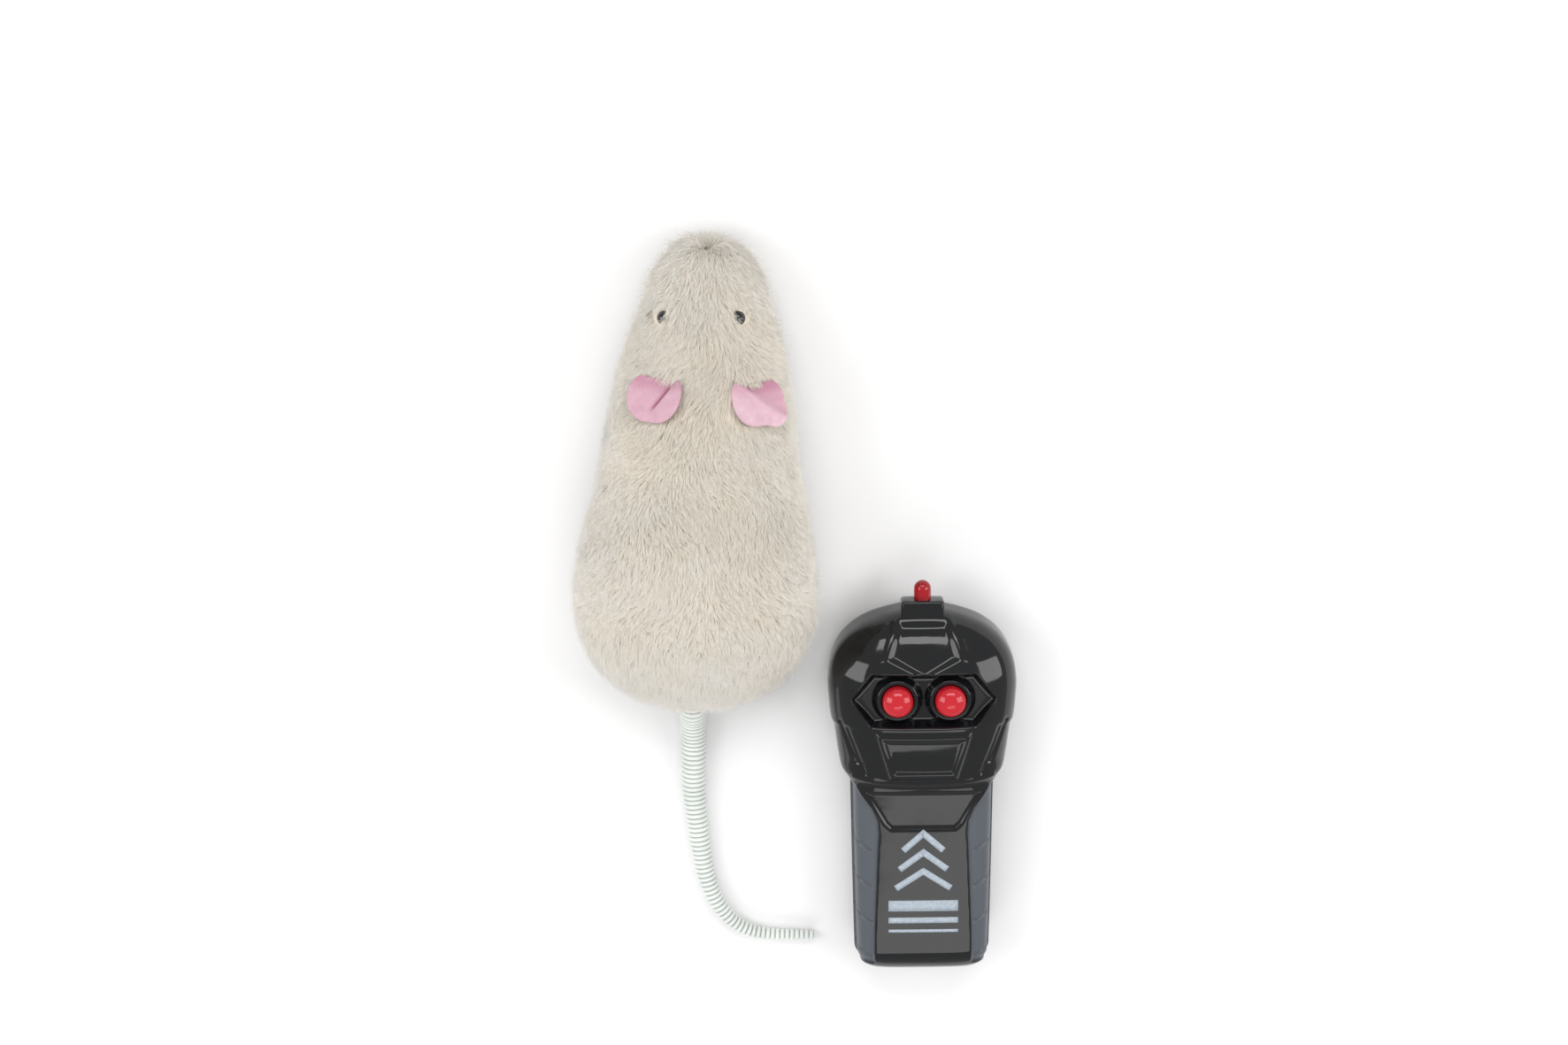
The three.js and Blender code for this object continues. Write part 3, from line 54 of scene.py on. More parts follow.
# Camera: looks down on the set from the nose's side, turned a little
FOCUS = Vector((-5.62, 24.02, 0)) * MM
CAMERA_TILT = math.radians(14)
CAMERA_ROLL = math.radians(2.5)
CAMERA_DISTANCE = 752 * MM
CAMERA_LENS = 58.25
CAMERA_SENSOR = 36

camera_data = bpy.data.cameras.new("camera")
camera_data.lens = CAMERA_LENS
camera_data.sensor_width = CAMERA_SENSOR
camera = bpy.data.objects.new("camera", camera_data)
scene.collection.objects.link(camera)
camera.rotation_euler = (-CAMERA_TILT, 0, CAMERA_ROLL)
camera.location = FOCUS + camera.rotation_euler.to_matrix() @ Vector((0, 0, CAMERA_DISTANCE))
scene.camera = camera
scene.view_settings.view_transform = "Standard"


# Small helpers
def paint(code):
    """A colour written as sRGB hex, as linear red, green, blue and 1."""
    parts = [int(code[i:i + 2], 16) / 255 for i in (1, 3, 5)]
    return tuple(c / 12.92 if c <= 0.04045 else ((c + 0.055) / 1.055) ** 2.4 for c in parts) + (1,)


def add(tree, kind, inputs=None, **settings):
    """Adds a node with its settings, and its inputs as values or as links from other nodes."""
    node = tree.nodes.new(kind)
    for name, value in settings.items():
        setattr(node, name, value)
    for name, value in (inputs or {}).items():
        if isinstance(value, bpy.types.NodeSocket):
            tree.links.new(value, node.inputs[name])
        else:
            node.inputs[name].default_value = value
    return node


def material(name, color, rough, **values):
    """A named finish with a single Principled shader, its node tree and that shader."""
    made = bpy.data.materials.new(name)
    made.use_nodes = True
    shader = made.node_tree.nodes["Principled BSDF"]
    shader.inputs["Base Color"].default_value = paint(color)
    shader.inputs["Roughness"].default_value = rough
    for key, value in values.items():
        shader.inputs[key.replace("_", " ")].default_value = value
    return made, made.node_tree, shader


def mixed(tree, share, low, high, **settings):
    """A colour between two, each a hex colour or a socket, by a share from 0 to 1."""
    low, high = [paint(color) if isinstance(color, str) else color for color in (low, high)]
    inputs = {"Factor": share, 6: low, 7: high}
    return add(tree, "ShaderNodeMix", inputs, data_type="RGBA", **settings).outputs[2]


def grain(tree, size, detail=2, rough=0.5):
    """Noise on the piece's own places, whose blotches are about this many millimetres across."""
    place = add(tree, "ShaderNodeTexCoord").outputs["Object"]
    settings = {"Vector": place, "Scale": 1 / (size * MM), "Detail": detail, "Roughness": rough}
    return add(tree, "ShaderNodeTexNoise", settings).outputs["Fac"]


def bands(tree, pitch, distortion=0.0, **settings):
    """Stripes on the piece's own places, this many millimetres apart."""
    place = add(tree, "ShaderNodeTexCoord").outputs["Object"]
    inputs = {"Vector": place, "Scale": math.pi / 10 / (pitch * MM), "Distortion": distortion}
    return add(tree, "ShaderNodeTexWave", inputs, **settings).outputs["Fac"]


def bump(tree, shader, height, depth, strength=1.0):
    """Relief from a height socket, of this depth in millimetres."""
    made = add(tree, "ShaderNodeBump", {"Height": height, "Distance": depth * MM, "Strength": strength})
    tree.links.new(made.outputs["Normal"], shader.inputs["Normal"])


def ramp(tree, value, low, high, to_low=0.0, to_high=1.0):
    """A socket's range spread to another range, held at its ends."""
    settings = {"Value": value, "From Min": low, "From Max": high, "To Min": to_low, "To Max": to_high}
    return add(tree, "ShaderNodeMapRange", settings).outputs["Result"]


def clouded(tree, low, high, size, detail=3, rough=0.5, spread=(0.3, 0.7)):
    """A colour that wanders between two, in blotches of this size in millimetres."""
    return mixed(tree, ramp(tree, grain(tree, size, detail, rough), *spread), low, high)


def gleam(tree, shader, size, low, high, detail=3, spread=(0.3, 0.7)):
    """Roughness that wanders between two values, in blotches of this size in millimetres."""
    tree.links.new(ramp(tree, grain(tree, size, detail), *spread, low, high), shader.inputs["Roughness"])


def named_share(tree, name, output="Fac"):
    """What a piece's own attribute says at each point."""
    return add(tree, "ShaderNodeAttribute", attribute_name=name).outputs[output]


def new_piece(name, points, faces, finish, smooth=True):
    """A mesh piece from points in millimetres."""
    mesh = bpy.data.meshes.new(name)
    mesh.from_pydata((np.asarray(points) * MM).tolist(), [], [list(face) for face in faces])
    mesh.materials.append(finish)
    mesh.update()
    if smooth:
        mesh.polygons.foreach_set("use_smooth", [True] * len(mesh.polygons))
    piece = bpy.data.objects.new(name, mesh)
    scene.collection.objects.link(piece)
    return piece


def mark(piece, name, values):
    """Keeps a share for each point of a piece, for its finish to read."""
    layer = piece.data.attributes.new(name, "FLOAT", "POINT")
    layer.data.foreach_set("value", values.reshape(-1).astype(np.float32))


def grid_faces(rows, columns, closed=False):
    """Quads of a grid of points, row by row, whose columns may close on themselves."""
    i, j = np.meshgrid(np.arange(rows - 1), np.arange(columns if closed else columns - 1), indexing="ij")
    k = (j + 1) % columns
    quads = np.stack([i * columns + j, i * columns + k, (i + 1) * columns + k, (i + 1) * columns + j], -1)
    return quads.reshape(-1, 4)


def read_shares(table, share):
    """A smooth reading of a table of shares, as the solids take theirs."""
    at = np.array([row[0] for row in table])
    value = np.array([row[1] for row in table], float)
    last = len(at) - 1
    after, before = np.minimum(np.arange(last + 1) + 1, last), np.maximum(np.arange(last + 1) - 1, 0)
    slopes = (value[after] - value[before]) / (at[after] - at[before])
    share = np.asarray(share, float)
    i = np.clip(np.searchsorted(at, share), 1, last)
    a, b = at[i - 1], at[i]
    t = (share - a) / (b - a)
    t2, t3 = t * t, t * t * t
    return ((2 * t3 - 3 * t2 + 1) * value[i - 1] + (t3 - 2 * t2 + t) * slopes[i - 1] * (b - a)
            + (3 * t2 - 2 * t3) * value[i] + (t3 - t2) * slopes[i] * (b - a))


def smooth_step(low, high, x):
    """0 below the low end, 1 above the high end, and a soft rise between."""
    t = np.clip((np.asarray(x, float) - low) / (high - low), 0, 1)
    return t * t * (3 - 2 * t)


def box_mm(name):
    """The low and high corner of a solid, in millimetres."""
    low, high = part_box(name)
    return np.array(low) / MM, np.array(high) / MM


# Stage: a plain pale floor and soft light
FLOOR_HALF = 3000
bpy.ops.object.select_all(action="DESELECT")
white_card = material("white card", "#f4f4f4", 0.9)[0]
floor_corners = [(x * FLOOR_HALF, y * FLOOR_HALF, 0) for x, y in ((-1, -1), (1, -1), (1, 1), (-1, 1))]
floor = new_piece("floor", floor_corners, [(0, 1, 2, 3)], white_card, smooth=False)
world = bpy.data.worlds.new("studio")
scene.world = world
world.use_nodes = True
WORLD_LIGHT = 0.53
backdrop = world.node_tree.nodes["Background"]
backdrop.inputs["Color"].default_value = (1, 1, 1, 1)
# The backdrop shows white, and lights the set with less
to_camera = add(world.node_tree, "ShaderNodeLightPath").outputs["Is Camera Ray"]
strength = ramp(world.node_tree, to_camera, 0, 1, WORLD_LIGHT)
world.node_tree.links.new(strength, backdrop.inputs["Strength"])


def soft_box(name, place, size, power):
    """A rectangular area lamp that looks at the middle of the set."""
    lamp = bpy.data.lights.new(name, "AREA")
    lamp.shape = "RECTANGLE"
    lamp.size, lamp.size_y = size
    lamp.energy = power
    made = bpy.data.objects.new(name, lamp)
    scene.collection.objects.link(made)
    made.location = place
    made.rotation_euler = (-Vector(place)).to_track_quat("-Z", "Y").to_euler()
    return made


soft_box("left_softbox", (-0.75, 0.1, 0.62), (0.45, 0.7), 3.4)
soft_box("right_softbox", (0.8, 0.15, 0.55), (0.45, 0.7), 3.5)
soft_box("grip_softbox", (0.1, -0.47, 0.8), (0.6, 0.22), 0.8)
soft_box("top_softbox", (0.0, 0.75, 0.75), (0.9, 0.3), 3.8)
# Fills in the rump, and is kept out of the gloss, where it would ring the buttons
soft_box("low_softbox", (-0.15, -0.8, 0.38), (0.7, 0.25), 2.1).visible_glossy = False

# The mouse's middle, from its plush skin, and its plain form: shares of its width and height along its length
BODY_LENGTH, BODY_WIDTH, BODY_HEIGHT = 138, 69, 50
skin_low, skin_high = box_mm("plush_skin")
MOUSE_X = (skin_low[0] + skin_high[0]) / 2
MOUSE_Y = (skin_low[1] + skin_high[1]) / 2
WIDTH_SHARES = [(0, 0.16), (0.012, 0.36), (0.04, 0.57), (0.08, 0.77), (0.14, 0.93), (0.21, 1), (0.3, 0.985),
                (0.4, 0.92), (0.5, 0.83), (0.6, 0.77), (0.7, 0.71), (0.8, 0.61), (0.88, 0.5), (0.95, 0.37),
                (0.985, 0.25), (1, 0.12)]
TOP_SHARES = [(0, 0.3), (0.012, 0.36), (0.04, 0.47), (0.08, 0.6), (0.14, 0.76), (0.22, 0.92), (0.32, 1),
              (0.5, 0.94), (0.6, 0.87), (0.7, 0.78), (0.8, 0.68), (0.88, 0.585), (0.95, 0.49), (0.985, 0.42),
              (1, 0.34)]
HEM_SHARES = [(0, 0.2), (0.012, 0.16), (0.04, 0.12), (0.08, 0.1), (0.14, 0.1), (0.5, 0.1), (0.88, 0.1),
              (0.95, 0.11), (0.985, 0.14), (1, 0.2)]
# How much of each half turn round the body is flank below the waist, and how far the hem is tucked in
FLANK_SHARE = 0.16
TUCK_SHARE, TUCK_POWER = 0.16, 2.2
# How far from the middle of the hem the rings that close the two ends stand
CAP_SHARES = (0, 0.4, 0.9)
WAIST_SHARE = 0.32
SECTION_POWER = 2.35
HIDE_IN = 1.4
HIDE_THICK = 0.7


def hide_place(share, turn, drawn_in):
    """A place on the plush's backing: share runs from tail to nose, turn from hem over the back to hem."""
    share, turn = np.broadcast_arrays(np.asarray(share, float), np.asarray(turn, float))
    half = read_shares(WIDTH_SHARES, share) * BODY_WIDTH / 2 - drawn_in
    top = read_shares(TOP_SHARES, share) * BODY_HEIGHT - drawn_in
    hem = read_shares(HEM_SHARES, share) * BODY_HEIGHT
    waist = hem + WAIST_SHARE * (top - hem)
    over = np.clip((turn - FLANK_SHARE) / (1 - 2 * FLANK_SHARE), 0, 1) * math.pi
    cosine, sine = np.cos(over), np.sin(over)
    across = np.sign(cosine) * np.abs(cosine) ** (2 / SECTION_POWER)
    rise = np.abs(sine) ** (2 / SECTION_POWER)
    below = np.clip(1 - np.minimum(turn, 1 - turn) / FLANK_SHARE, 0, 1)
    x = half * across * (1 - TUCK_SHARE * below ** TUCK_POWER)
    z_below = waist - (waist - hem) * np.sin(below * math.pi / 2)
    z = np.where(below > 0, z_below, waist + (top - waist) * rise)
    y = (share - 0.5) * (BODY_LENGTH - 2 * drawn_in)
    return np.stack([x + MOUSE_X, y + MOUSE_Y, z], -1)


def end_spread(count):
    """Shares from 0 to 1 that lie closer together towards both ends."""
    return (1 - np.cos(np.pi * np.arange(count + 1) / count)) / 2


def body_grid(rows, columns, drawn_in):
    """The backing as a grid of points, its two ends drawn together to the middle of the hem."""
    share = end_spread(rows)[:, None]
    turn = np.linspace(0, 1, columns + 1)[None, :]
    rings = hide_place(share, turn, drawn_in)
    closed = []
    for ring, order in ((rings[0], CAP_SHARES), (rings[-1], CAP_SHARES[::-1])):
        middle = (ring[0] + ring[-1]) / 2
        closed.append(np.stack([middle + (ring - middle) * part for part in order]))
    return np.concatenate([closed[0], rings, closed[1]])


def grid_normals(grid):
    """Outward normals of a grid of points, smoothed from its cells."""
    across = np.gradient(grid, axis=1)
    along = np.gradient(grid, axis=0)
    normal = np.cross(along, across)
    size = np.linalg.norm(normal, axis=-1, keepdims=True)
    normal = normal / np.maximum(size, 1e-9)
    normal[0], normal[-1] = (0, -1, 0), (0, 1, 0)
    return normal


# Knitted backing: polyester mesh cloth in a dull cream, seen only in the partings
backing, tree, shader = material("knitted polyester backing", "#ece2d0", 0.9)
bump(tree, shader, bands(tree, 1.2, 1.5), 0.3)

hide_grid = body_grid(64, 72, HIDE_IN)
hide = new_piece("plush_backing", hide_grid.reshape(-1, 3), grid_faces(*hide_grid.shape[:2]), backing)


def choose(piece):
    """Makes one piece the only selected and active one."""
    bpy.ops.object.select_all(action="DESELECT")
    piece.select_set(True)
    bpy.context.view_layer.objects.active = piece


def smooth_shade(piece):
    """Shades a piece smooth, but for its sharp edges."""
    choose(piece)
    bpy.ops.object.shade_smooth_by_angle(angle=SHARP_EDGE)


def modify(piece, kind, **settings):
    """Adds a modifier and applies it."""
    made = piece.modifiers.new(kind.lower(), kind)
    for name, value in settings.items():
        setattr(made, name, value)
    choose(piece)
    bpy.ops.object.modifier_apply(modifier=made.name)


def pick_faces(piece, test):
    """Opens a piece for editing, with the faces selected whose middle, in millimetres, passes a test."""
    choose(piece)
    bpy.ops.object.mode_set(mode="EDIT")
    bpy.ops.mesh.select_mode(type="FACE")
    bpy.ops.mesh.select_all(action="DESELECT")
    bpy.ops.object.mode_set(mode="OBJECT")
    for face in piece.data.polygons:
        face.select = test(face.center / MM)
    bpy.ops.object.mode_set(mode="EDIT")


def merge(piece, gap=0.001):
    """Joins points that lie together and turns all faces outward."""
    choose(piece)
    bpy.ops.object.mode_set(mode="EDIT")
    bpy.ops.mesh.select_all(action="SELECT")
    bpy.ops.mesh.remove_doubles(threshold=gap * MM)
    bpy.ops.mesh.normals_make_consistent(inside=False)
    bpy.ops.object.mode_set(mode="OBJECT")


merge(hide)
modify(hide, "SOLIDIFY", thickness=HIDE_THICK * MM, offset=-1)
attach(hide, "chassis")
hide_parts("plush_skin")

# Pile: tapered strands combed back from the nose, leaning on each other in small tufts
PILE_STRANDS = 165000
PILE_PIECES = 9
PILE_LONG = 4.6
PILE_RADIUS = 0.09
PILE_TAPER = 0.85
PILE_SEED = 7
STRAND_STOPS = np.array([0, 0.5, 1.0])
STRAND_SUNK = 0.3
FLOOR_GAP = 0.6
# How a strand leans at its root and at its tip, how much that varies, and how far strays stand up
ROOT_LEAN = math.radians(40)
TIP_LEAN = math.radians(76)
LEAN_SPREAD = math.radians(9)
LEAN_WAVE, LEAN_WAVE_SIZE = math.radians(12), 9
LEAN_POWER = 0.8
TURN_SPREAD = 0.32
STRAY_SHARE = 0.08
STRAY_LIFT = math.radians(36)
# How a strand's length varies: its least share and the spread over it, and in blotches
LONG_LEAST, LONG_SPREAD = 0.86, 0.28
LONG_WAVE, LONG_WAVE_SIZE = 0.12, 7
# Tufts: the area of each, how its length varies, and how far strands are pulled to the middle of theirs
TUFT_AREA = 3.8
TUFT_LONG_SPREAD = 0.1
TUFT_PULL, PULL_LEAST, PULL_SPREAD, PULL_POWER = 0.34, 0.55, 0.6, 1.5
# Swirls that turn the lie about: how far, and how large their blotches are
SWIRLS = [(1.25, 24, 1), (0.6, 6, 2)]
# The lie over the body, and what is added to it where the pile hangs over the hem
BODY_LIE = np.array([0.0, -1.0, -0.38])
HEM_LIE = np.array([0.0, 0.3, -1.1])
HEM_BAND = (8, 14)
# The rump's pile stands up more and is longer
RUMP_LIFT = math.radians(26)
RUMP_LONGER = 0.36
# The nose's pile parts from a whorl at its tip, this high and wide, and hangs longer at the chin
NOSE_HIGH = 15
NOSE_WHORL = 3.5
NOSE_CURL = 0.45
NOSE_SHORTER = 0.1
CHIN_LONGER = 1.25
# No strand roots where the tail comes out
TAIL_MOUTH = 3.6
TAIL_HIGH = 11.5
# Beds pressed into the pile under each ear, on top of the head: middle of its root, half width and length
EAR_BEDS = [(-11.6, 32.0, 8.4, 11), (14.2, 32.0, 8.4, 11)]
BED_SHORTER, BED_FRONT_SHORTER = 0.86, 0.15
# Gaps where the beads look out: middle, half length, half width and slant. No strand roots under a bead.
EYE_ROOM = 2.2
EYE_GAPS = [(-12.6, 49.2, 1.0, 0.5, math.radians(-20)), (10.2, 50.1, 2.0, 0.8, math.radians(-36))]
EYE_ROOM_BACK = 0.3
# Where along a strand it is held against the gaps
GAP_STOPS = (0.35, 0.6, 0.8, 1.0)
# How much of its shading a strand takes from the skin under it, which calms the pile
SKIN_SHADE = 0.8


def scatter(grid, count, rng):
    """Random places spread evenly over a grid's surface, the way it faces there, and its whole area."""
    normal = grid_normals(grid)
    edge_a = grid[1:, :-1] - grid[:-1, :-1]
    edge_b = grid[:-1, 1:] - grid[:-1, :-1]
    area = np.linalg.norm(np.cross(edge_a, edge_b), axis=-1)
    chosen = rng.choice(area.size, count, p=area.ravel() / area.sum())
    i, j = np.divmod(chosen, area.shape[1])
    u, v = rng.random(count)[:, None], rng.random(count)[:, None]

    def blended(values):
        """Each chosen place's own value, between the corners of its cell."""
        low = values[i, j] * (1 - v) + values[i, j + 1] * v
        high = values[i + 1, j] * (1 - v) + values[i + 1, j + 1] * v
        return low * (1 - u) + high * u

    facing = blended(normal)
    return blended(grid), facing / np.linalg.norm(facing, axis=1, keepdims=True), area.sum()


def waves(points, size, seed):
    """Smooth noise from -1 to 1 at each point, in blotches of this size."""
    shift = Vector((seed * 13.7, seed * 7.1, seed * 3.3))
    return np.array([noise.noise(Vector(p) / size + shift) for p in points.tolist()])


def nose_whorl(points, facing):
    """Which way a place lies from the tip of the nose, where the pile parts, and how much it is there."""
    from_nose = (points - (MOUSE_X, 0, NOSE_HIGH)) * (1, 0, 1)
    return from_nose, smooth_step(0.2, 0.75, facing[:, 1])


def combed(points, facing):
    """The way the pile lies: back and down, turned about by slow swirls."""
    from_nose, over_nose = nose_whorl(points, facing)
    hangs = 1 - smooth_step(*HEM_BAND, points[:, 2])
    hangs, over_nose = hangs[:, None], over_nose[:, None]
    parted = from_nose / NOSE_WHORL + (0, 0, -1) * hangs
    lie = (BODY_LIE + HEM_LIE * hangs) * (1 - over_nose) + parted * over_nose
    flow = lie - facing * (facing * lie).sum(1)[:, None]
    flow /= np.maximum(np.linalg.norm(flow, axis=1, keepdims=True), 1e-6)
    side = np.cross(facing, flow)
    swirl = sum(far * waves(points, size, seed) for far, size, seed in SWIRLS)
    return flow * np.cos(swirl)[:, None] + side * np.sin(swirl)[:, None]


def strand_lines(roots, facing, rng, long):
    """Centre lines of strands, as points at each stop."""
    count = len(roots)
    flow = combed(roots, facing)
    side = np.cross(facing, flow)
    turned = rng.normal(0, TURN_SPREAD, count)[:, None]
    flow = flow * np.cos(turned) + side * np.sin(turned)
    lift = rng.normal(0, LEAN_SPREAD, count) + LEAN_WAVE * waves(roots, LEAN_WAVE_SIZE, 3)
    lift = lift + STRAY_LIFT * (rng.random(count) < STRAY_SHARE)
    rump = smooth_step(0.35, 0.9, -facing[:, 1])
    from_nose, nose = nose_whorl(roots, facing)
    upright = nose * (1 - np.clip(np.linalg.norm(from_nose, axis=1) / NOSE_WHORL, 0, 1))
    upright = upright * smooth_step(*HEM_BAND, roots[:, 2])
    lines = [roots - facing * STRAND_SUNK]
    for before, after in zip(STRAND_STOPS, STRAND_STOPS[1:]):
        middle = (before + after) / 2
        lean = ROOT_LEAN + (TIP_LEAN - ROOT_LEAN) * middle ** LEAN_POWER - lift - RUMP_LIFT * rump
        lean = lean * (1 - upright)
        way = facing * np.cos(lean)[:, None] + flow * np.sin(lean)[:, None]
        way[:, 1] -= NOSE_CURL * middle * nose
        way /= np.linalg.norm(way, axis=1, keepdims=True)
        lines.append(lines[-1] + way * ((after - before) * long)[:, None])
    return np.stack(lines, 1)


def nearest(points, seeds):
    """The number of the seed that is nearest to each point."""
    tree_of_seeds = kdtree.KDTree(len(seeds))
    for number, seed in enumerate(seeds.tolist()):
        tree_of_seeds.insert(seed, number)
    tree_of_seeds.balance()
    return np.array([tree_of_seeds.find(p)[1] for p in points.tolist()])


rng = np.random.default_rng(PILE_SEED)
pile_grid = body_grid(96, 110, HIDE_IN)
roots, facing, hide_area = scatter(pile_grid, PILE_STRANDS, rng)
tuft_count = int(hide_area / TUFT_AREA)
tuft_roots, tuft_facing, _ = scatter(pile_grid, tuft_count, rng)
tuft_long = PILE_LONG * (1 + TUFT_LONG_SPREAD * rng.normal(0, 1, tuft_count))
tuft_lines = strand_lines(tuft_roots, tuft_facing, rng, tuft_long)
own_tuft = nearest(roots, tuft_roots)
strand_long = PILE_LONG * (LONG_LEAST + LONG_SPREAD * rng.random(PILE_STRANDS))
strand_long = strand_long * (1 + LONG_WAVE * waves(roots, LONG_WAVE_SIZE, 4))
on_rump, on_nose = smooth_step(0.3, 0.9, -facing[:, 1]), smooth_step(0.2, 0.8, facing[:, 1])
on_chin = smooth_step(0.1, 0.6, facing[:, 1]) * (1 - smooth_step(*HEM_BAND, roots[:, 2]))
strand_long *= 1 + RUMP_LONGER * on_rump - NOSE_SHORTER * on_nose
strand_long *= 1 + CHIN_LONGER * on_chin
on_top = smooth_step(0.15, 0.45, facing[:, 2])
for at_x, at_y, wide, long in EAR_BEDS:
    across = np.abs(roots[:, 0] - MOUSE_X - at_x) / wide
    behind = at_y + MOUSE_Y - roots[:, 1]
    along = smooth_step(-1.2, 0.6, behind) * (1 - smooth_step(0.8, 1.0, behind / long))
    under = (1 - smooth_step(0.8, 1.1, across)) * along
    before = (1 - smooth_step(0.9, 1.2, across)) * smooth_step(-6, -2, behind) * (behind < 0)
    strand_long *= 1 - (BED_SHORTER * under + BED_FRONT_SHORTER * before * (1 - under)) * on_top
lines = strand_lines(roots, facing, rng, strand_long)
pull = TUFT_PULL * (PULL_LEAST + PULL_SPREAD * rng.random(PILE_STRANDS))
pull = pull[:, None, None] * (STRAND_STOPS ** PULL_POWER)[None, :, None]
lines = lines + (tuft_lines[own_tuft] - lines) * pull
lines[:, :, 2] = np.maximum(lines[:, :, 2], FLOOR_GAP)
tail_at = np.array([MOUSE_X, MOUSE_Y - BODY_LENGTH / 2, TAIL_HIGH])
clear = (np.linalg.norm((roots - tail_at)[:, [0, 2]], axis=1) > TAIL_MOUTH) | (roots[:, 1] > MOUSE_Y)
for at_x, at_y, long, wide, slant in EYE_GAPS:
    for along in GAP_STOPS:
        first, share = (1, 2 * along - 1) if along > 0.5 else (0, 2 * along)
        spot = lines[:, first] + (lines[:, first + 1] - lines[:, first]) * share
        off = spot[:, :2] - (MOUSE_X + at_x, MOUSE_Y + at_y)
        lengthwise = off[:, 0] * math.cos(slant) + off[:, 1] * math.sin(slant)
        sideways = off[:, 1] * math.cos(slant) - off[:, 0] * math.sin(slant)
        clear &= (lengthwise / long) ** 2 + (sideways / wide) ** 2 > 1
    clear &= np.hypot(*(roots[:, :2] - (MOUSE_X + at_x, MOUSE_Y + at_y - EYE_ROOM_BACK)).T) > EYE_ROOM

# How pale each strand is: painted light towards the rump, flanks and head, and its own tone in blotches
rump_painted_light = smooth_step(5, -45, roots[:, 1] - MOUSE_Y)
flank_painted_light = smooth_step(14, 27, np.abs(roots[:, 0] - MOUSE_X))
head_painted_light = 0.7 * smooth_step(20, 50, roots[:, 1] - MOUSE_Y)
blotch_and_painted_light = 0.3 + 0.45 * np.maximum.reduce([rump_painted_light, flank_painted_light, head_painted_light])
blotch_and_painted_light = np.clip(blotch_and_painted_light + 0.4 * waves(roots, 21, 5) + 0.25 * waves(roots, 8, 6), 0, 1)
tuft_tone = rng.random(tuft_count)[own_tuft]
strand_tone = 0.5 * tuft_tone + 0.5 * rng.random(PILE_STRANDS)


def strand_piece(name, keep, finish):
    """One mesh of closed three-sided strands that taper to a point."""
    line = lines[keep]
    count, stops = line.shape[:2]
    way = np.gradient(line, axis=1)
    way /= np.linalg.norm(way, axis=-1, keepdims=True)
    side = np.cross(way, facing[keep][:, None, :])
    side /= np.maximum(np.linalg.norm(side, axis=-1, keepdims=True), 1e-6)
    lift = np.cross(side, way)
    turn = rng.random(count)[:, None, None] * 2 * math.pi + np.arange(3)[None, None, :] * 2 * math.pi / 3
    radius = PILE_RADIUS * (1 - PILE_TAPER * STRAND_STOPS[:-1])[None, :, None, None]
    ring = side[:, :-1, None, :] * np.cos(turn)[..., None] + lift[:, :-1, None, :] * np.sin(turn)[..., None]
    rings = (line[:, :-1, None, :] + radius * ring).reshape(count, -1, 3)
    points = np.concatenate([rings, line[:, -1:, :]], 1)
    per = points.shape[1]
    quads = []
    for level in range(stops - 2):
        for k in range(3):
            a, b = level * 3 + k, level * 3 + (k + 1) % 3
            quads.append((b, a, a + 3, b + 3))
    tip = per - 1
    crown = (stops - 2) * 3
    triangles = [(crown + (k + 1) % 3, crown + k, tip) for k in range(3)] + [(0, 1, 2)]
    start = (np.arange(count) * per)[:, None, None]
    quad_corners = (np.array(quads)[None] + start).reshape(-1, 4)
    triangle_corners = (np.array(triangles)[None] + start).reshape(-1, 3)
    mesh = bpy.data.meshes.new(name)
    mesh.vertices.add(count * per)
    mesh.vertices.foreach_set("co", (points.reshape(-1) * MM).astype(np.float32))
    corners = np.concatenate([quad_corners.ravel(), triangle_corners.ravel()])
    mesh.loops.add(len(corners))
    mesh.loops.foreach_set("vertex_index", corners.astype(np.int32))
    mesh.polygons.add(len(quad_corners) + len(triangle_corners))
    starts = np.concatenate([np.arange(len(quad_corners)) * 4,
                             quad_corners.size + np.arange(len(triangle_corners)) * 3])
    mesh.polygons.foreach_set("loop_start", starts.astype(np.int32))
    mesh.polygons.foreach_set("use_smooth", np.ones(len(starts), bool))
    mesh.update(calc_edges=True)
    along = np.append(np.repeat(STRAND_STOPS[:-1], 3), 1.0)
    # Red: how far along the strand, for the painted shade at its root; green: its own tone; blue: blotches
    # and painted light
    tone = np.empty((count, per, 4), np.float32)
    tone[..., 0] = along[None]
    tone[..., 1] = strand_tone[keep][:, None]
    tone[..., 2] = blotch_and_painted_light[keep][:, None]
    tone[..., 3] = 1
    layer = mesh.attributes.new("strand tone and painted light", "FLOAT_COLOR", "POINT")
    layer.data.foreach_set("color", tone.reshape(-1))
    outward = np.concatenate([ring.reshape(count, -1, 3), np.zeros((count, 1, 3))], 1)
    shaded = outward * (1 - SKIN_SHADE) + SKIN_SHADE * facing[keep][:, None]
    shaded = shaded / np.linalg.norm(shaded, axis=-1, keepdims=True)
    mesh.normals_split_custom_set_from_vertices(shaded.reshape(-1, 3).tolist())
    mesh.materials.append(finish)
    piece = bpy.data.objects.new(name, mesh)
    scene.collection.objects.link(piece)
    return piece


# Plush pile: short polyester fibres with a soft sheen, painted darker at their roots as shade deep in the
# pile
pile, tree, shader = material("polyester plush pile", "#e8dfd0", 0.85, Sheen_Weight=0.25, Sheen_Roughness=0.5)
tone = add(tree, "ShaderNodeSeparateColor", {"Color": named_share(tree, "strand tone and painted light", "Color")})
# Root and tip tones; the darker root tones are painted shade deep in the pile
deep = mixed(tree, tone.outputs["Blue"], "#ecdec6", "#f5ecdc")
pale = mixed(tree, tone.outputs["Blue"], "#faf2e3", "#fdf9f1")
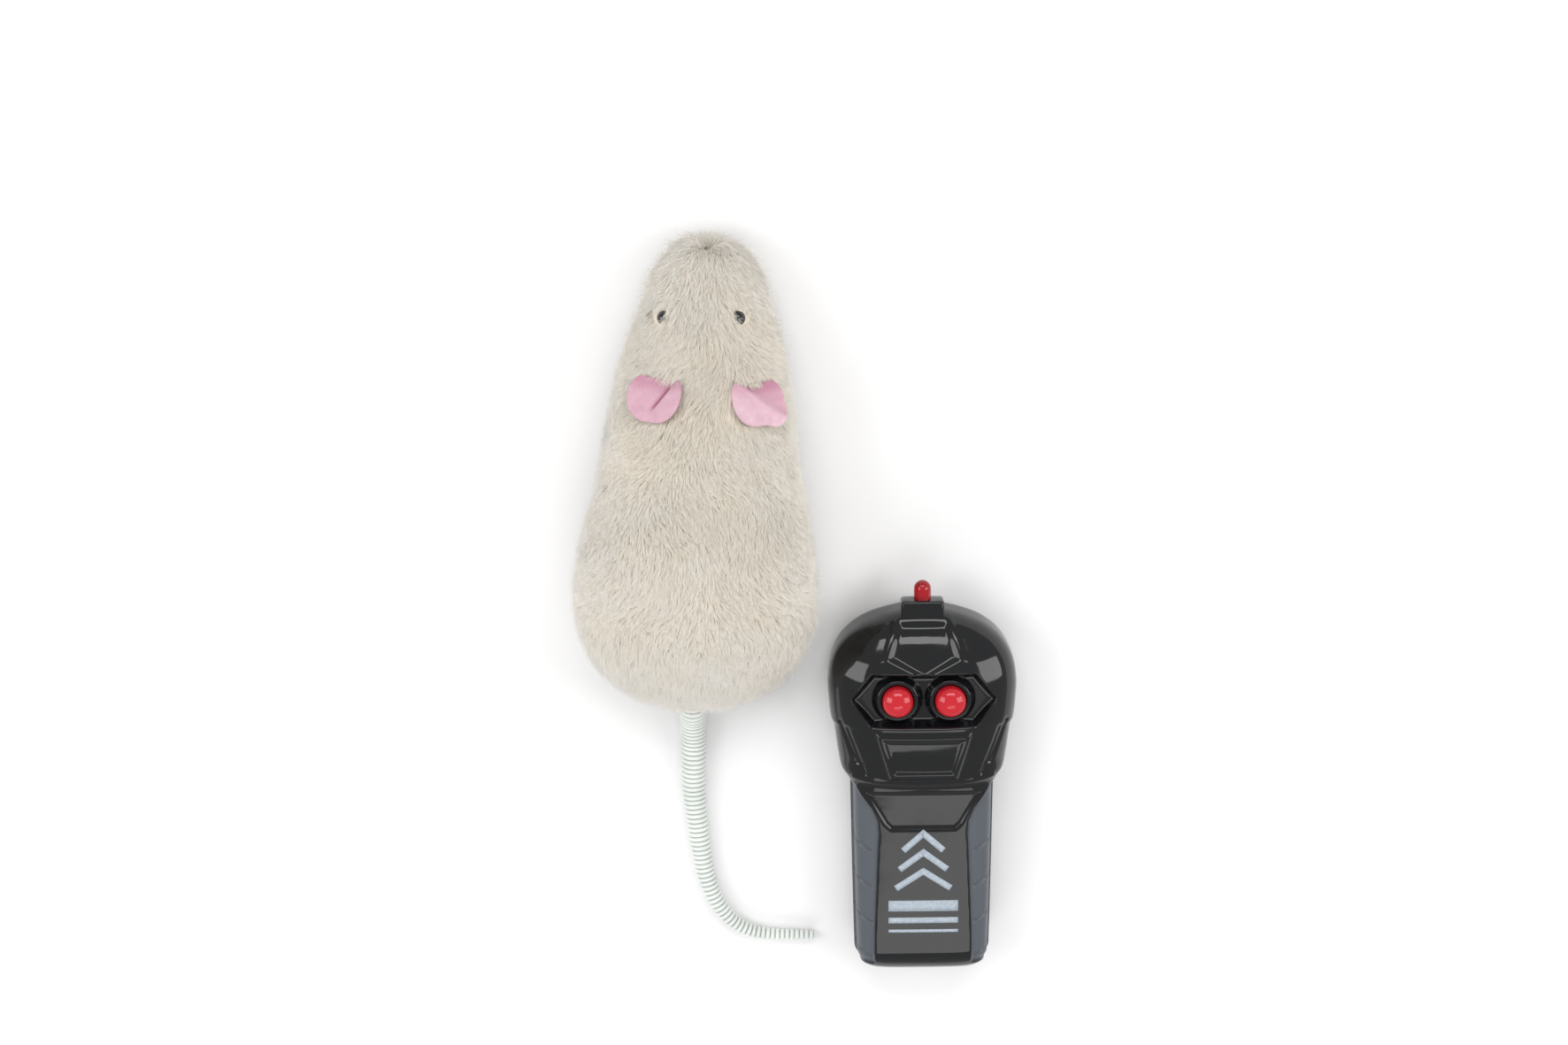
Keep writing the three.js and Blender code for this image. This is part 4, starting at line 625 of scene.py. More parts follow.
# Painted shade along each strand: darkest at the root, palest at the tip
shade = ramp(tree, tone.outputs["Red"], 0.05, 0.9)
vary = ramp(tree, tone.outputs["Green"], 0, 1, 0.93, 1.0)
tinted = mixed(tree, 1.0, mixed(tree, shade, deep, pale), vary, blend_type="MULTIPLY")
tree.links.new(tinted, shader.inputs["Base Color"])

kept = np.flatnonzero(clear)
order = np.argsort(roots[kept, 1])
for number, share in enumerate(np.array_split(kept[order], PILE_PIECES)):
    tuft = strand_piece(f"pile_{number + 1}", share, pile)
    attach(tuft, "chassis")
    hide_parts("plush_skin")


# Ears: leaves of felt pinched at the root, lying back so that their cupped face shows
EAR_HALF_WIDE = 7.7
EAR_LONG = 12.8
EAR_CUP = 1.7
EAR_THICK = 1.1
EAR_LEAN = math.radians(34)
EAR_Y = 32.1
EAR_SUNK = 1.6
EAR_ROLL = 0.7
EAR_SHADOW = 0.35
EAR_TIP_DROP = 1.2
CREASE_HALF = 0.7
ROOT_SHADOW = 0.35
# For each ear: where it stands across the head, its turn in degrees, its crease as places across and along
# the leaf, how deep that is, how far the leaf's outer back corner is drawn out, and the painted shade over it
# all
EARS = {
    "left": (-11.6, -3, ((0.55, 0.1), (-0.02, 0.72)), 1.0, 0.0, 0.36),
    "right": (14.2, 6, ((-0.62, 0.1), (0.85, 1.0)), -1.2, 1.7, 0.1),
}

# Felt: needled pink polyester, matt, with a faint nap, and painted shade at its root, in its crease and on
# one side
felt, tree, shader = material("needled pink felt", "#e0a0b8", 0.9, Sheen_Weight=0.35, Sheen_Roughness=0.6)
fibres = grain(tree, 0.35, 4, 0.7)
open_face = clouded(tree, "#d8afbd", "#e5c1cd", 3.0)
# Painted shade: the felt darkens to a deeper pink by the share kept on each ear
face = mixed(tree, ramp(tree, named_share(tree, "pinched"), 0.1, 1.0), open_face, "#b7718c")
speck = mixed(tree, 1.0, face, ramp(tree, fibres, 0.3, 0.7, 0.9, 1.06), blend_type="MULTIPLY")
tree.links.new(speck, shader.inputs["Base Color"])
bump(tree, shader, fibres, 0.25)


def skin_at(x, y):
    """The plush's outer surface over a place of the mouse, and the way it faces there."""
    share = 0.5 + y / BODY_LENGTH
    turns = np.linspace(0.17, 0.83, 400)
    line = hide_place(share, turns, 0)
    number = np.argmin(np.abs(line[:, 0] - (MOUSE_X + x)))
    ahead = hide_place(share + 0.01, turns[number], 0) - line[number]
    out = Vector(np.cross(ahead, line[number + 1] - line[number - 1])).normalized()
    if out.z < 0:
        out.negate()
    return Vector(line[number]), out


def ear_leaf(label):
    """One ear: a cupped leaf whose crease runs in from its pinched root."""
    across, splay, (start, end), deep, corner, ear_shade_share = EARS[label]
    rows, columns = 33, 41
    v = np.linspace(0, 1, rows)[:, None]
    u = np.linspace(-1, 1, columns)[None, :]
    half = EAR_HALF_WIDE * (1 - np.abs(2 * (0.12 + 0.865 * v) - 1) ** 2.5) ** 0.45
    x, y = half * u, -EAR_LONG * v + 0 * u
    (ax, ay), (bx, by) = [(EAR_HALF_WIDE * at, -EAR_LONG * back) for at, back in (start, end)]
    long = math.hypot(bx - ax, by - ay)
    along = ((x - ax) * (bx - ax) + (y - ay) * (by - ay)) / long ** 2
    beside = ((bx - ax) * (y - ay) - (by - ay) * (x - ax)) / long
    crease = (1 - smooth_step(0.8, 1.15, along)) * smooth_step(-0.3, 0.05, along)
    crease = crease * np.exp(-(beside / CREASE_HALF) ** 2)
    lobe = smooth_step(-0.3, 2.6, beside) * (1 - smooth_step(0.7, 1.3, along))
    rise = EAR_CUP * (np.abs(x) / EAR_HALF_WIDE) ** 2.2 + deep * (0.7 * lobe - crease) - EAR_TIP_DROP * v ** 2
    drawn = corner * smooth_step(0.3, 1, u) * smooth_step(0.55, 1, v)
    points = np.stack([x + drawn, y - 0.6 * drawn, rise], -1).reshape(-1, 3)
    piece = new_piece(f"{label}_ear_felt", points, grid_faces(rows, columns)[:, ::-1], felt)
    # Painted shade: beside a raised crease, in a sunk crease, at the root, and over the whole ear
    shaded = EAR_SHADOW * smooth_step(-0.2, 0.5, beside) * (deep < 0) + crease * smooth_step(0, 1, deep)
    pinched = np.clip(ear_shade_share + shaded + ROOT_SHADOW * (1 - smooth_step(0.12, 0.4, v)), 0, 1)
    mark(piece, "pinched", pinched)
    at, out = skin_at(across, EAR_Y)
    roll = Matrix.Rotation(EAR_ROLL * math.atan2(out.x, out.z), 4, "Y")
    turn = roll @ Matrix.Rotation(math.radians(splay), 4, "Z") @ Matrix.Rotation(-EAR_LEAN, 4, "X")
    piece.data.transform(Matrix.Translation((at - Vector((0, 0, EAR_SUNK))) * MM) @ turn)
    modify(piece, "SOLIDIFY", thickness=EAR_THICK * MM, offset=0)
    modify(piece, "SUBSURF", levels=1, render_levels=1)
    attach(piece, "chassis")
    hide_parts(f"{label}_ear")


for label in EARS:
    ear_leaf(label)

# Eyes: polished acrylic beads on short stalks, sunk in the pile
EYE_RADIUS = 2.1
EYE_STALK, EYE_STALK_SHARE = 1.4, 0.93
# Where each bead sits, from the middle of the mouse, and how deep
EYES = {"left": (-12.6, 48.9, 2.2), "right": (10.2, 49.9, 2.3)}
bead, tree, shader = material("polished black acrylic", "#0d0e10", 0.08, Coat_Weight=0.5)
gleam(tree, shader, 0.8, 0.05, 0.12, 2)


def eye_bead(label):
    """One bead: a ball whose back is drawn out into a short stalk."""
    x, y, sunk = EYES[label]
    name = f"{label}_eye_bead"
    at, out = skin_at(x, y)
    bpy.ops.object.select_all(action="DESELECT")
    bpy.ops.mesh.primitive_uv_sphere_add(segments=40, ring_count=24, radius=EYE_RADIUS * MM)
    piece = bpy.context.object
    piece.name = piece.data.name = name
    pick_faces(piece, lambda middle: middle.z < -EYE_STALK_SHARE * EYE_RADIUS)
    bpy.ops.mesh.extrude_region_move(TRANSFORM_OT_translate={"value": (0, 0, -EYE_STALK * MM)})
    bpy.ops.object.mode_set(mode="OBJECT")
    place = at - out * sunk
    piece.data.transform(Matrix.Translation(place * MM) @ out.to_track_quat("Z", "Y").to_matrix().to_4x4())
    piece.data.materials.append(bead)
    bpy.ops.object.shade_smooth()
    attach(piece, "chassis")
    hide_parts(f"{label}_eye")


for label in EYES:
    eye_bead(label)

# Tail: moulded soft tube with a smooth neck, then close ribs that turn to beads at the tip
TAIL_PIVOT = (0, -58.5, 11.5)
TAIL_ROUTE = [
    (0, 8.5, 0), (0, 0, 0), (0.1, -8.4, -0.3), (0.2, -12.6, -1.6), (0.4, -17.5, -4.6), (0.7, -23.5, -6.9),
    (0.9, -30, -7.9), (1.4, -40.8, -9), (2.6, -50.2, -9), (4.1, -59.3, -9), (6.1, -68.7, -9),
    (9.3, -76.7, -9), (14.4, -83.4, -9.2), (20.3, -86.7, -9.5), (26.3, -87.6, -9.8), (32.3, -87.6, -10),
    (39.9, -87.5, -10.3),
]
TAIL_ROOT, TAIL_MIDDLE, TAIL_TIP = 4.2, 3.05, 1.45
TAIL_NECK, TAIL_NECK_LONG = 2.3, 19.4
TAIL_PLUG, TAIL_PLUG_LONG, TAIL_PLUG_EDGE = 4.6, 1.6, 0.15
TAIL_RIBS = 69
TAIL_SIDES = 24
TAIL_LIFT = 0.05
# Moulding seam: how far it stands out on both sides, and how narrow it is
TAIL_SEAM, TAIL_SEAM_SHARE = 0.07, 0.97
# Grooves between the ribs: how deep, at most and as a share of the tail, and where their painted shade is
# full
RIB_DEEP, RIB_DEEP_SHARE = 0.85, 0.42
GROOVE_FULL_SHADE = 0.65
RIB_STOPS = (0.0, 0.1, 0.28, 0.5, 0.72, 0.9)


def smooth_route(points, steps=24):
    """A curve through points that doesn't overshoot at short steps, as close points."""
    points = [Vector(p) for p in points]
    points = [2 * points[0] - points[1]] + points + [2 * points[-1] - points[-2]]
    found = []
    for p0, p1, p2, p3 in zip(points, points[1:], points[2:], points[3:]):
        d0, d1, d2 = math.sqrt((p1 - p0).length), math.sqrt((p2 - p1).length), math.sqrt((p3 - p2).length)
        out = ((p1 - p0) / d0 - (p2 - p0) / (d0 + d1) + (p2 - p1) / d1) * d1
        into = ((p2 - p1) / d1 - (p3 - p1) / (d1 + d2) + (p3 - p2) / d2) * d1
        for step in range(steps):
            t = step / steps
            found.append((2 * t ** 3 - 3 * t ** 2 + 1) * p1 + (t ** 3 - 2 * t ** 2 + t) * out
                         + (3 * t ** 2 - 2 * t ** 3) * p2 + (t ** 3 - t ** 2) * into)
    return np.array([list(p) for p in found + [points[-2]]])


def tail_tube():
    """The tail from plug to tip, as points, faces and how deep in a groove each point lies."""
    origin = np.array([MOUSE_X, MOUSE_Y, 0]) + TAIL_PIVOT
    route = smooth_route(TAIL_ROUTE) + origin
    gone = np.concatenate([[0], np.cumsum(np.linalg.norm(np.diff(route, axis=0), axis=1))])
    long = gone[-1]
    ribbed = long - TAIL_NECK_LONG
    pitch = ribbed / TAIL_RIBS
    plug_edge = TAIL_PLUG * 0.92
    stops = [(0.0, plug_edge), (TAIL_PLUG_EDGE, TAIL_PLUG), (TAIL_PLUG_LONG - TAIL_PLUG_EDGE, TAIL_PLUG),
             (TAIL_PLUG_LONG, plug_edge), (TAIL_PLUG_LONG + 0.05, TAIL_NECK + 0.3),
             (TAIL_PLUG_LONG + 0.4, TAIL_NECK)]
    stops += [(at, TAIL_NECK) for at in np.linspace(TAIL_PLUG_LONG + 1, TAIL_NECK_LONG - 0.4, 22)]

    def crest_at(at):
        """Radius over the ribs at one or more lengths along the tail."""
        return np.interp((at - TAIL_NECK_LONG) / ribbed, (0, 0.5, 1), (TAIL_ROOT, TAIL_MIDDLE, TAIL_TIP))

    for rib in range(TAIL_RIBS):
        for part in RIB_STOPS:
            at = TAIL_NECK_LONG + (rib + part) * pitch
            crest = crest_at(at)
            valley = min(RIB_DEEP, crest * RIB_DEEP_SHARE)
            stops.append((at, crest - valley + valley * math.sqrt(max(1 - (2 * part - 1) ** 2, 0))))
    tip = stops[-1][0]
    stops += [(tip + (long - tip) * part, TAIL_TIP * 0.62 * math.sqrt(1 - part ** 2))
              for part in (0.4, 0.75, 0.95)]
    at, radius = np.array(stops).T
    centre, ahead, behind = [np.stack([np.interp(at + step, gone, route[:, k]) for k in range(3)], 1)
                             for step in (0, 0.4, -0.4)]
    way = ahead - behind
    way /= np.linalg.norm(way, axis=1, keepdims=True)
    centre[:, 2] = np.maximum(centre[:, 2], crest_at(at) + TAIL_LIFT)
    across = np.cross(way, [0, 0, 1])
    across /= np.linalg.norm(across, axis=1, keepdims=True)
    up = np.cross(across, way)
    angle = np.arange(TAIL_SIDES) * 2 * math.pi / TAIL_SIDES
    at_seam = np.maximum(np.abs(np.cos(angle)) - TAIL_SEAM_SHARE, 0) / (1 - TAIL_SEAM_SHARE)
    out = across[:, None] * np.cos(angle)[:, None] + up[:, None] * np.sin(angle)[:, None]
    rings = centre[:, None] + (radius[:, None] + TAIL_SEAM * at_seam)[..., None] * out
    rows = len(at)
    # How far into its painted shade each point lies, by its depth in a groove
    groove = np.clip((crest_at(at) - radius) / GROOVE_FULL_SHADE, 0, 1) * (at > TAIL_NECK_LONG)
    groove = np.append(np.repeat(groove, TAIL_SIDES), [0, 0])
    points = np.concatenate([rings.reshape(-1, 3), centre[:1], centre[-1:] + way[-1:] * 0.1])
    faces = [list(face) for face in grid_faces(rows, TAIL_SIDES, closed=True)]
    last = (rows - 1) * TAIL_SIDES
    for k in range(TAIL_SIDES):
        after = (k + 1) % TAIL_SIDES
        faces.append([rows * TAIL_SIDES, after, k])
        faces.append([rows * TAIL_SIDES + 1, last + k, last + after])
    return points, faces, groove


# Soft PVC: plasticised, injection moulded, milky, so that light goes a little way into it
soft_pvc, tree, shader = material("milky soft PVC", "#e6e9e6", 0.38, Subsurface_Weight=0.35,
                                  Subsurface_Radius=(1.0, 0.9, 0.8), Subsurface_Scale=1.2 * MM)
gleam(tree, shader, 1.6, 0.3, 0.48)
crest_tone = clouded(tree, "#dce0dc", "#e8ebe6", 9, spread=(0.35, 0.65))
# Painted shade: darker grey-green in the grooves between the ribs
groove_shaded_pvc = mixed(tree, ramp(tree, named_share(tree, "groove"), 0.1, 1.0), crest_tone, "#9da8a2")
tree.links.new(groove_shaded_pvc, shader.inputs["Base Color"])
tail_points, tail_faces, tail_groove = tail_tube()
tail = new_piece("ribbed_tail", tail_points, tail_faces, soft_pvc)
mark(tail, "groove", tail_groove)
merge(tail)
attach(tail, "tail")
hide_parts("tail")

# Remote: its own frame stands on its two buttons, whose middle lies on its axis, a set way from its foot
REMOTE_LONG, REMOTE_WIDE, REMOTE_HIGH = 111.5, 55.8, 27
PARTING = 11
PARTING_GAP = 0.1
BUTTON_X, BUTTON_Y, BUTTON_RADIUS = 7.7, 86.6, 4.5
BUTTON_PROUD, BUTTON_DOME = 1.2, 3
BUTTON_HOLE = 5.6
REMOTE_WIDTH_SHARES = [
    (0, 0.6), (0.012, 0.66), (0.035, 0.722), (0.06, 0.732), (0.3, 0.752), (0.5, 0.764), (0.53, 0.77),
    (0.545, 0.8), (0.567, 0.862), (0.612, 0.9), (0.66, 0.925), (0.69, 0.945), (0.705, 0.972), (0.76, 0.995),
    (0.81, 1), (0.87, 0.955), (0.92, 0.84), (0.96, 0.65), (0.985, 0.42), (1, 0.2)]
REMOTE_TOP_SHARES = [
    (0, 0.66), (0.012, 0.72), (0.035, 0.78), (0.06, 0.8), (0.3, 0.8), (0.5, 0.81), (0.53, 0.82), (0.56, 0.87),
    (0.6, 0.92), (0.66, 0.965), (0.76, 1), (0.86, 0.97), (0.93, 0.86), (0.97, 0.74), (1, 0.6)]
REMOTE_BACK_SHARES = [(0, 0.14), (0.012, 0.08), (0.035, 0.02), (0.06, 0), (0.9, 0), (0.96, 0.06), (1, 0.2)]
GRIP_POWER, HEAD_POWER, BACK_POWER = 4.6, 2.7, 5
BACK_FLAT = 1.12
RECESS_WIDE, RECESS_SHOULDER, RECESS_HALF, RECESS_DEEP = 20.8, 15, 7.6, 5
RECESS_FLOOR = REMOTE_HIGH - RECESS_DEEP
RECESS_EDGE, RECESS_SLOPE, RECESS_BLEND = 0.6, 2.6, 0.35
COLLAR_BASE, COLLAR_TOP, COLLAR_HIGH = 7.1, 5.7, 2.8
SHELL_WALL = 2

left_middle = sum(box_mm("left_button")) / 2
right_middle = sum(box_mm("right_button")) / 2
REMOTE_TURN = math.atan2(right_middle[1] - left_middle[1], right_middle[0] - left_middle[0])
button_line = (left_middle + right_middle) / 2
REMOTE_PLACE = (Matrix.Translation(Vector((button_line[0], button_line[1], 0)) * MM)
                @ Matrix.Rotation(REMOTE_TURN, 4, "Z") @ Matrix.Translation(Vector((0, -BUTTON_Y, 0)) * MM))


def remote_point(y, angle, drawn_in=0.0):
    """A place on the remote's plain body: y along it, the angle from its right side over its front."""
    share = np.clip((y - drawn_in) / (REMOTE_LONG - 2 * drawn_in), 0, 1)
    half = read_shares(REMOTE_WIDTH_SHARES, share) * REMOTE_WIDE / 2 - drawn_in
    top = read_shares(REMOTE_TOP_SHARES, share) * REMOTE_HIGH - drawn_in
    back = np.maximum(read_shares(REMOTE_BACK_SHARES, share), 0) * REMOTE_HIGH + drawn_in
    front = GRIP_POWER + (HEAD_POWER - GRIP_POWER) * smooth_step(0.5, 0.6, share)
    cosine, sine = np.cos(angle), np.sin(angle)
    power = np.where(sine >= 0, front, BACK_POWER)
    out = (np.abs(cosine) ** power + np.abs(sine) ** power) ** (-1 / power)
    rise_back = (PARTING - back) * np.maximum(out * sine * BACK_FLAT, -1)
    rise = np.where(sine >= 0, (top - PARTING) * out * sine, rise_back)
    return np.stack(np.broadcast_arrays(half * out * cosine, y, PARTING + rise), -1)


def front_height(x, y):
    """Height of the plain front over a place, for what is printed on it."""
    share = y / REMOTE_LONG
    half = read_shares(REMOTE_WIDTH_SHARES, share) * REMOTE_WIDE / 2
    top = read_shares(REMOTE_TOP_SHARES, share) * REMOTE_HIGH
    front = GRIP_POWER + (HEAD_POWER - GRIP_POWER) * smooth_step(0.5, 0.6, share)
    return PARTING + (top - PARTING) * (1 - (np.abs(x) / half) ** front) ** (1 / front)


def inside_by(x, y, corners):
    """How far a place lies inside a convex outline, whose corners run anticlockwise."""
    found = np.full(np.shape(x), np.inf)
    for (ax, ay), (bx, by) in zip(corners, corners[1:] + corners[:1]):
        long = math.hypot(bx - ax, by - ay)
        found = np.minimum(found, ((bx - ax) * (y - ay) - (by - ay) * (x - ax)) / long)
    return found


def line_gap(x, y, a, b):
    """Distance from a place to a straight line between two points."""
    (ax, ay), (bx, by) = a, b
    dx, dy = bx - ax, by - ay
    t = np.clip(((x - ax) * dx + (y - ay) * dy) / (dx * dx + dy * dy), 0, 1)
    return np.hypot(x - ax - t * dx, y - ay - t * dy)


# Half width of the grip's waisted front panel at places along the remote
GRIP_PANEL = [(0, 14.8), (8, 14.8), (14, 14.7), (40, 13.6), (44, 13.3), (48, 13.6), (52, 15.4), (56, 18.6),
              (58, 20), (62, 21)]
# Side facets of the grip: from where to where they run, how deep they lie, and the slanted cuts across them
FACET_FROM, FACET_TO, FACET_DEEP = (1.6, 3.0), (58.2, 59.4), 0.75
CUT_COUNT, CUT_FIRST, CUT_PITCH, CUT_RISE, CUT_DEEP, CUT_HALF = 4, 4.2, 11.4, 10.6, 0.55, 0.32
CUT_IN, CUT_OUT = 15.6, 34
# Fields of the front, as the right half of each outline upwards, and how deep each is pressed
HOOD, HOOD_DEEP = [(9.5, 45.4), (11.4, 47.2), (17.2, 57.2)], 0.6
CROWN, CROWN_DEEP, CROWN_RIM = [(0, 94.6), (9.4, 99.6), (6.6, 108.4)], 0.9, 0.25
FRAME, FRAME_HIGH, FRAME_WINDOW = [(9.6, 62.6), (13.4, 76.2)], 0.8, 0.5
LIP_AT, LIP_HALF, LIP_HIGH, LIP_REACH = 60.2, 0.9, 0.35, 21
SLOTS = [((17.2, 63.4), (22.6, 77.6)), ((19.6, 66.8), (24.6, 79.4))]
SLOT_DEEP, SLOT_HALF = 0.5, 0.55


def groove_at(gap, half):
    """A rounded groove's share of its depth, at this distance from its middle."""
    return np.exp(-(gap / half) ** 2)


def inside_field(x, y, half_outline):
    """How far a place lies inside an even field, given by the right half of its outline upwards."""
    mirrored = [(-x_at, y_at) for x_at, y_at in reversed(half_outline) if x_at > 0]
    return inside_by(x, y, half_outline + mirrored)


def shell_relief(x, y):
    """What is pressed into the front shell: its depth at each place, and where the face is left satin and
    painted grey.
    """
    wide = np.abs(x)
    panel = 1 - smooth_step(-0.5, 0.5, wide - np.interp(y, *zip(*GRIP_PANEL)))
    facet = (1 - panel) * smooth_step(*FACET_FROM, y) * (1 - smooth_step(*FACET_TO, y))
    depth = FACET_DEEP * facet
    for number in range(CUT_COUNT):
        foot = CUT_FIRST + CUT_PITCH * number
        cut = line_gap(wide, y, (CUT_IN, foot), (CUT_OUT, foot + CUT_RISE))
        depth = depth + CUT_DEEP * groove_at(cut, CUT_HALF) * facet
    depth = depth + HOOD_DEEP * smooth_step(-0.3, 0.9, inside_field(x, y, HOOD))
    lip = groove_at(y - LIP_AT - 0.004 * wide ** 2, LIP_HALF)
    depth = depth - LIP_HIGH * lip * (wide < LIP_REACH)
    crown = inside_field(x, y, CROWN)
    rim = groove_at(crown + 1.6, 0.8) * (y > 90)
    depth = depth + CROWN_DEEP * smooth_step(-1.2, 0.9, crown) - CROWN_RIM * rim
    raised = inside_field(x, y, FRAME)
    depth = depth - FRAME_HIGH * smooth_step(-1.1, 0.5, raised) + FRAME_WINDOW * smooth_step(0.9, 2.3, raised)
    for a, b in SLOTS:
        depth = depth + SLOT_DEEP * groove_at(line_gap(wide, y, a, b), SLOT_HALF)
    return depth, facet


def recess_by(x, y, grow=0.0):
    """How far a place lies inside the recess round the two buttons, grown by this much."""
    wide, shoulder, half = RECESS_WIDE + grow, RECESS_SHOULDER + grow / 2, RECESS_HALF + grow
    return inside_field(x, y - BUTTON_Y, [(shoulder, -half), (wide, 0), (shoulder, half)])


FRONT_ROWS, FRONT_COLUMNS = 300, 208
t = np.linspace(0, 1, FRONT_ROWS)
front_y = REMOTE_LONG * (0.72 * t + 0.28 * (1 - np.cos(np.pi * t)) / 2)
angles = np.linspace(0, math.pi, FRONT_COLUMNS)
plain = remote_point(front_y[:, None], angles[None, :])
plain[:, 0, 2] = plain[:, -1, 2] = PARTING + PARTING_GAP
facing = grid_normals(plain)
facing = facing * np.sign((facing * (plain - [0, REMOTE_LONG / 2, PARTING - 4])).sum(-1))[..., None]
depth, satin = shell_relief(plain[..., 0], plain[..., 1])
edge = smooth_step(0, 0.05, np.minimum(angles, math.pi - angles))[None, :]
shaped = plain - facing * (depth * (0.35 + 0.65 * edge))[..., None]
in_recess = recess_by(shaped[..., 0], shaped[..., 1], RECESS_EDGE)
over_floor = shaped[..., 2] - RECESS_SLOPE * np.maximum(in_recess, 0) - RECESS_FLOOR
sunk = RECESS_FLOOR + 0.5 * (over_floor + np.sqrt(over_floor ** 2 + RECESS_BLEND))
shaped[..., 2] = np.where(in_recess > 0, sunk, shaped[..., 2])
# The recess's two wings, outside the collars, are where its dotted grain lies
pressed = smooth_step(1.6, 2.8, recess_by(shaped[..., 0], shaped[..., 1]))
pressed = pressed * smooth_step(10.5, 12.5, np.abs(shaped[..., 0]))


def capped(rows):
    """A grid of open rings with its two ends drawn together on the parting plane."""
    ends = []
    for ring, order in ((rows[0], (0, 0.5)), (rows[-1], (0.5, 0))):
        middle = np.array([0, ring[0][1], PARTING + PARTING_GAP])
        ends.append(np.stack([middle + (ring - middle) * part for part in order]))
    return np.concatenate([ends[0], rows, ends[1]])


# Polished ABS: moulded against a mirror-polished steel tool, so it mirrors the lamps with a slight wave.
# Its grip facets are spark-eroded in the same tool and rougher, and are painted grey as a painted reflection
# of the lamps; the recess's wings have a dotted grain.
shell_abs, tree, shader = material("polished moulded ABS", "#0e0f11", 0.07)
marks = add(tree, "ShaderNodeSeparateColor", {"Color": named_share(tree, "shell finish and painted sheen", "Color")})
smudge = ramp(tree, grain(tree, 14, 4, 0.6), 0.4, 0.75, 0.05, 0.14)
eroded = ramp(tree, grain(tree, 0.5, 3), 0.3, 0.7, 0.36, 0.46)
half_satin = add(tree, "ShaderNodeMix", {"Factor": marks.outputs["Red"], 2: smudge, 3: eroded}).outputs[0]
dotted = add(tree, "ShaderNodeMix", {"Factor": marks.outputs["Green"], 2: half_satin, 3: 0.4}).outputs[0]
tree.links.new(dotted, shader.inputs["Roughness"])
# Painted reflection: the satin facets are painted a lighter grey than the black shell
tree.links.new(mixed(tree, marks.outputs["Red"], "#0f1012", "#50555c"), shader.inputs["Base Color"])
place = add(tree, "ShaderNodeTexCoord").outputs["Object"]
dots = add(tree, "ShaderNodeTexVoronoi", {"Vector": place, "Scale": 1 / (0.62 * MM), "Randomness": 0.15})
dot = ramp(tree, dots.outputs["Distance"], 0.2, 0.45, 1, 0)
dot_height = add(tree, "ShaderNodeMath", {0: dot, 1: marks.outputs["Green"]}, operation="MULTIPLY").outputs[0]
dotted_bump = add(tree, "ShaderNodeBump", {"Height": dot_height, "Distance": 0.12 * MM}).outputs["Normal"]
wave = {"Height": grain(tree, 9, 2), "Distance": 0.05 * MM, "Normal": dotted_bump}
tree.links.new(add(tree, "ShaderNodeBump", wave).outputs["Normal"], shader.inputs["Normal"])


def set_down(piece, body, slot, *replaced):
    """Puts a piece made in the remote's own frame in its place, on the body it rides on, and hides the solids
    it replaces.
    """
    piece.data.transform(REMOTE_PLACE)
    piece.data.update()
    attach(piece, body)
    if replaced:
        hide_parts(*replaced)
    return piece


whole = capped(shaped)
front = new_piece("front_shell_moulding", whole.reshape(-1, 3), grid_faces(*whole.shape[:2]), shell_abs)
layer = front.data.attributes.new("shell finish and painted sheen", "FLOAT_COLOR", "POINT")
marked = np.zeros(whole.shape[:2] + (4,), np.float32)
marked[2:-2, :, 0] = satin
marked[2:-2, :, 1] = pressed
marked[..., 3] = 1
layer.data.foreach_set("color", marked.reshape(-1))
pick_faces(front, lambda middle: math.hypot(abs(middle.x) - BUTTON_X, middle.y - BUTTON_Y) < BUTTON_HOLE)
bpy.ops.mesh.delete(type="FACE")
bpy.ops.object.mode_set(mode="OBJECT")
merge(front)
set_down(front, "remote", "shell_black", "remote_front_shell")


def spun(name, profile, finish, steps=72):
    """A turned piece: its half profile, as radius and height, spun about the upright axis."""
    bpy.ops.object.select_all(action="DESELECT")
    mesh = bpy.data.meshes.new(name)
    points = [(radius * MM, 0, height * MM) for radius, height in profile]
    mesh.from_pydata(points, [(i, i + 1) for i in range(len(points) - 1)], [])
    mesh.materials.append(finish)
    piece = bpy.data.objects.new(name, mesh)
    scene.collection.objects.link(piece)
    choose(piece)
    bpy.ops.object.mode_set(mode="EDIT")
    bpy.ops.mesh.select_all(action="SELECT")
    bpy.ops.mesh.spin(steps=steps, angle=2 * math.pi, center=(0, 0, 0), axis=(0, 0, 1))
    bpy.ops.object.mode_set(mode="OBJECT")
    merge(piece)
    smooth_shade(piece)
    return piece


def moved(piece, x, y, z):
    """Shifts a piece by millimetres."""
    piece.data.transform(Matrix.Translation(Vector((x, y, z)) * MM))
    return piece


def arc(middle, radius, start, end, steps):
    """Points of an arc in a profile, from one angle in degrees to another."""
    turns = [math.radians(start + (end - start) * i / steps) for i in range(steps + 1)]
    return [(middle[0] + radius * math.cos(turn), middle[1] + radius * math.sin(turn)) for turn in turns]


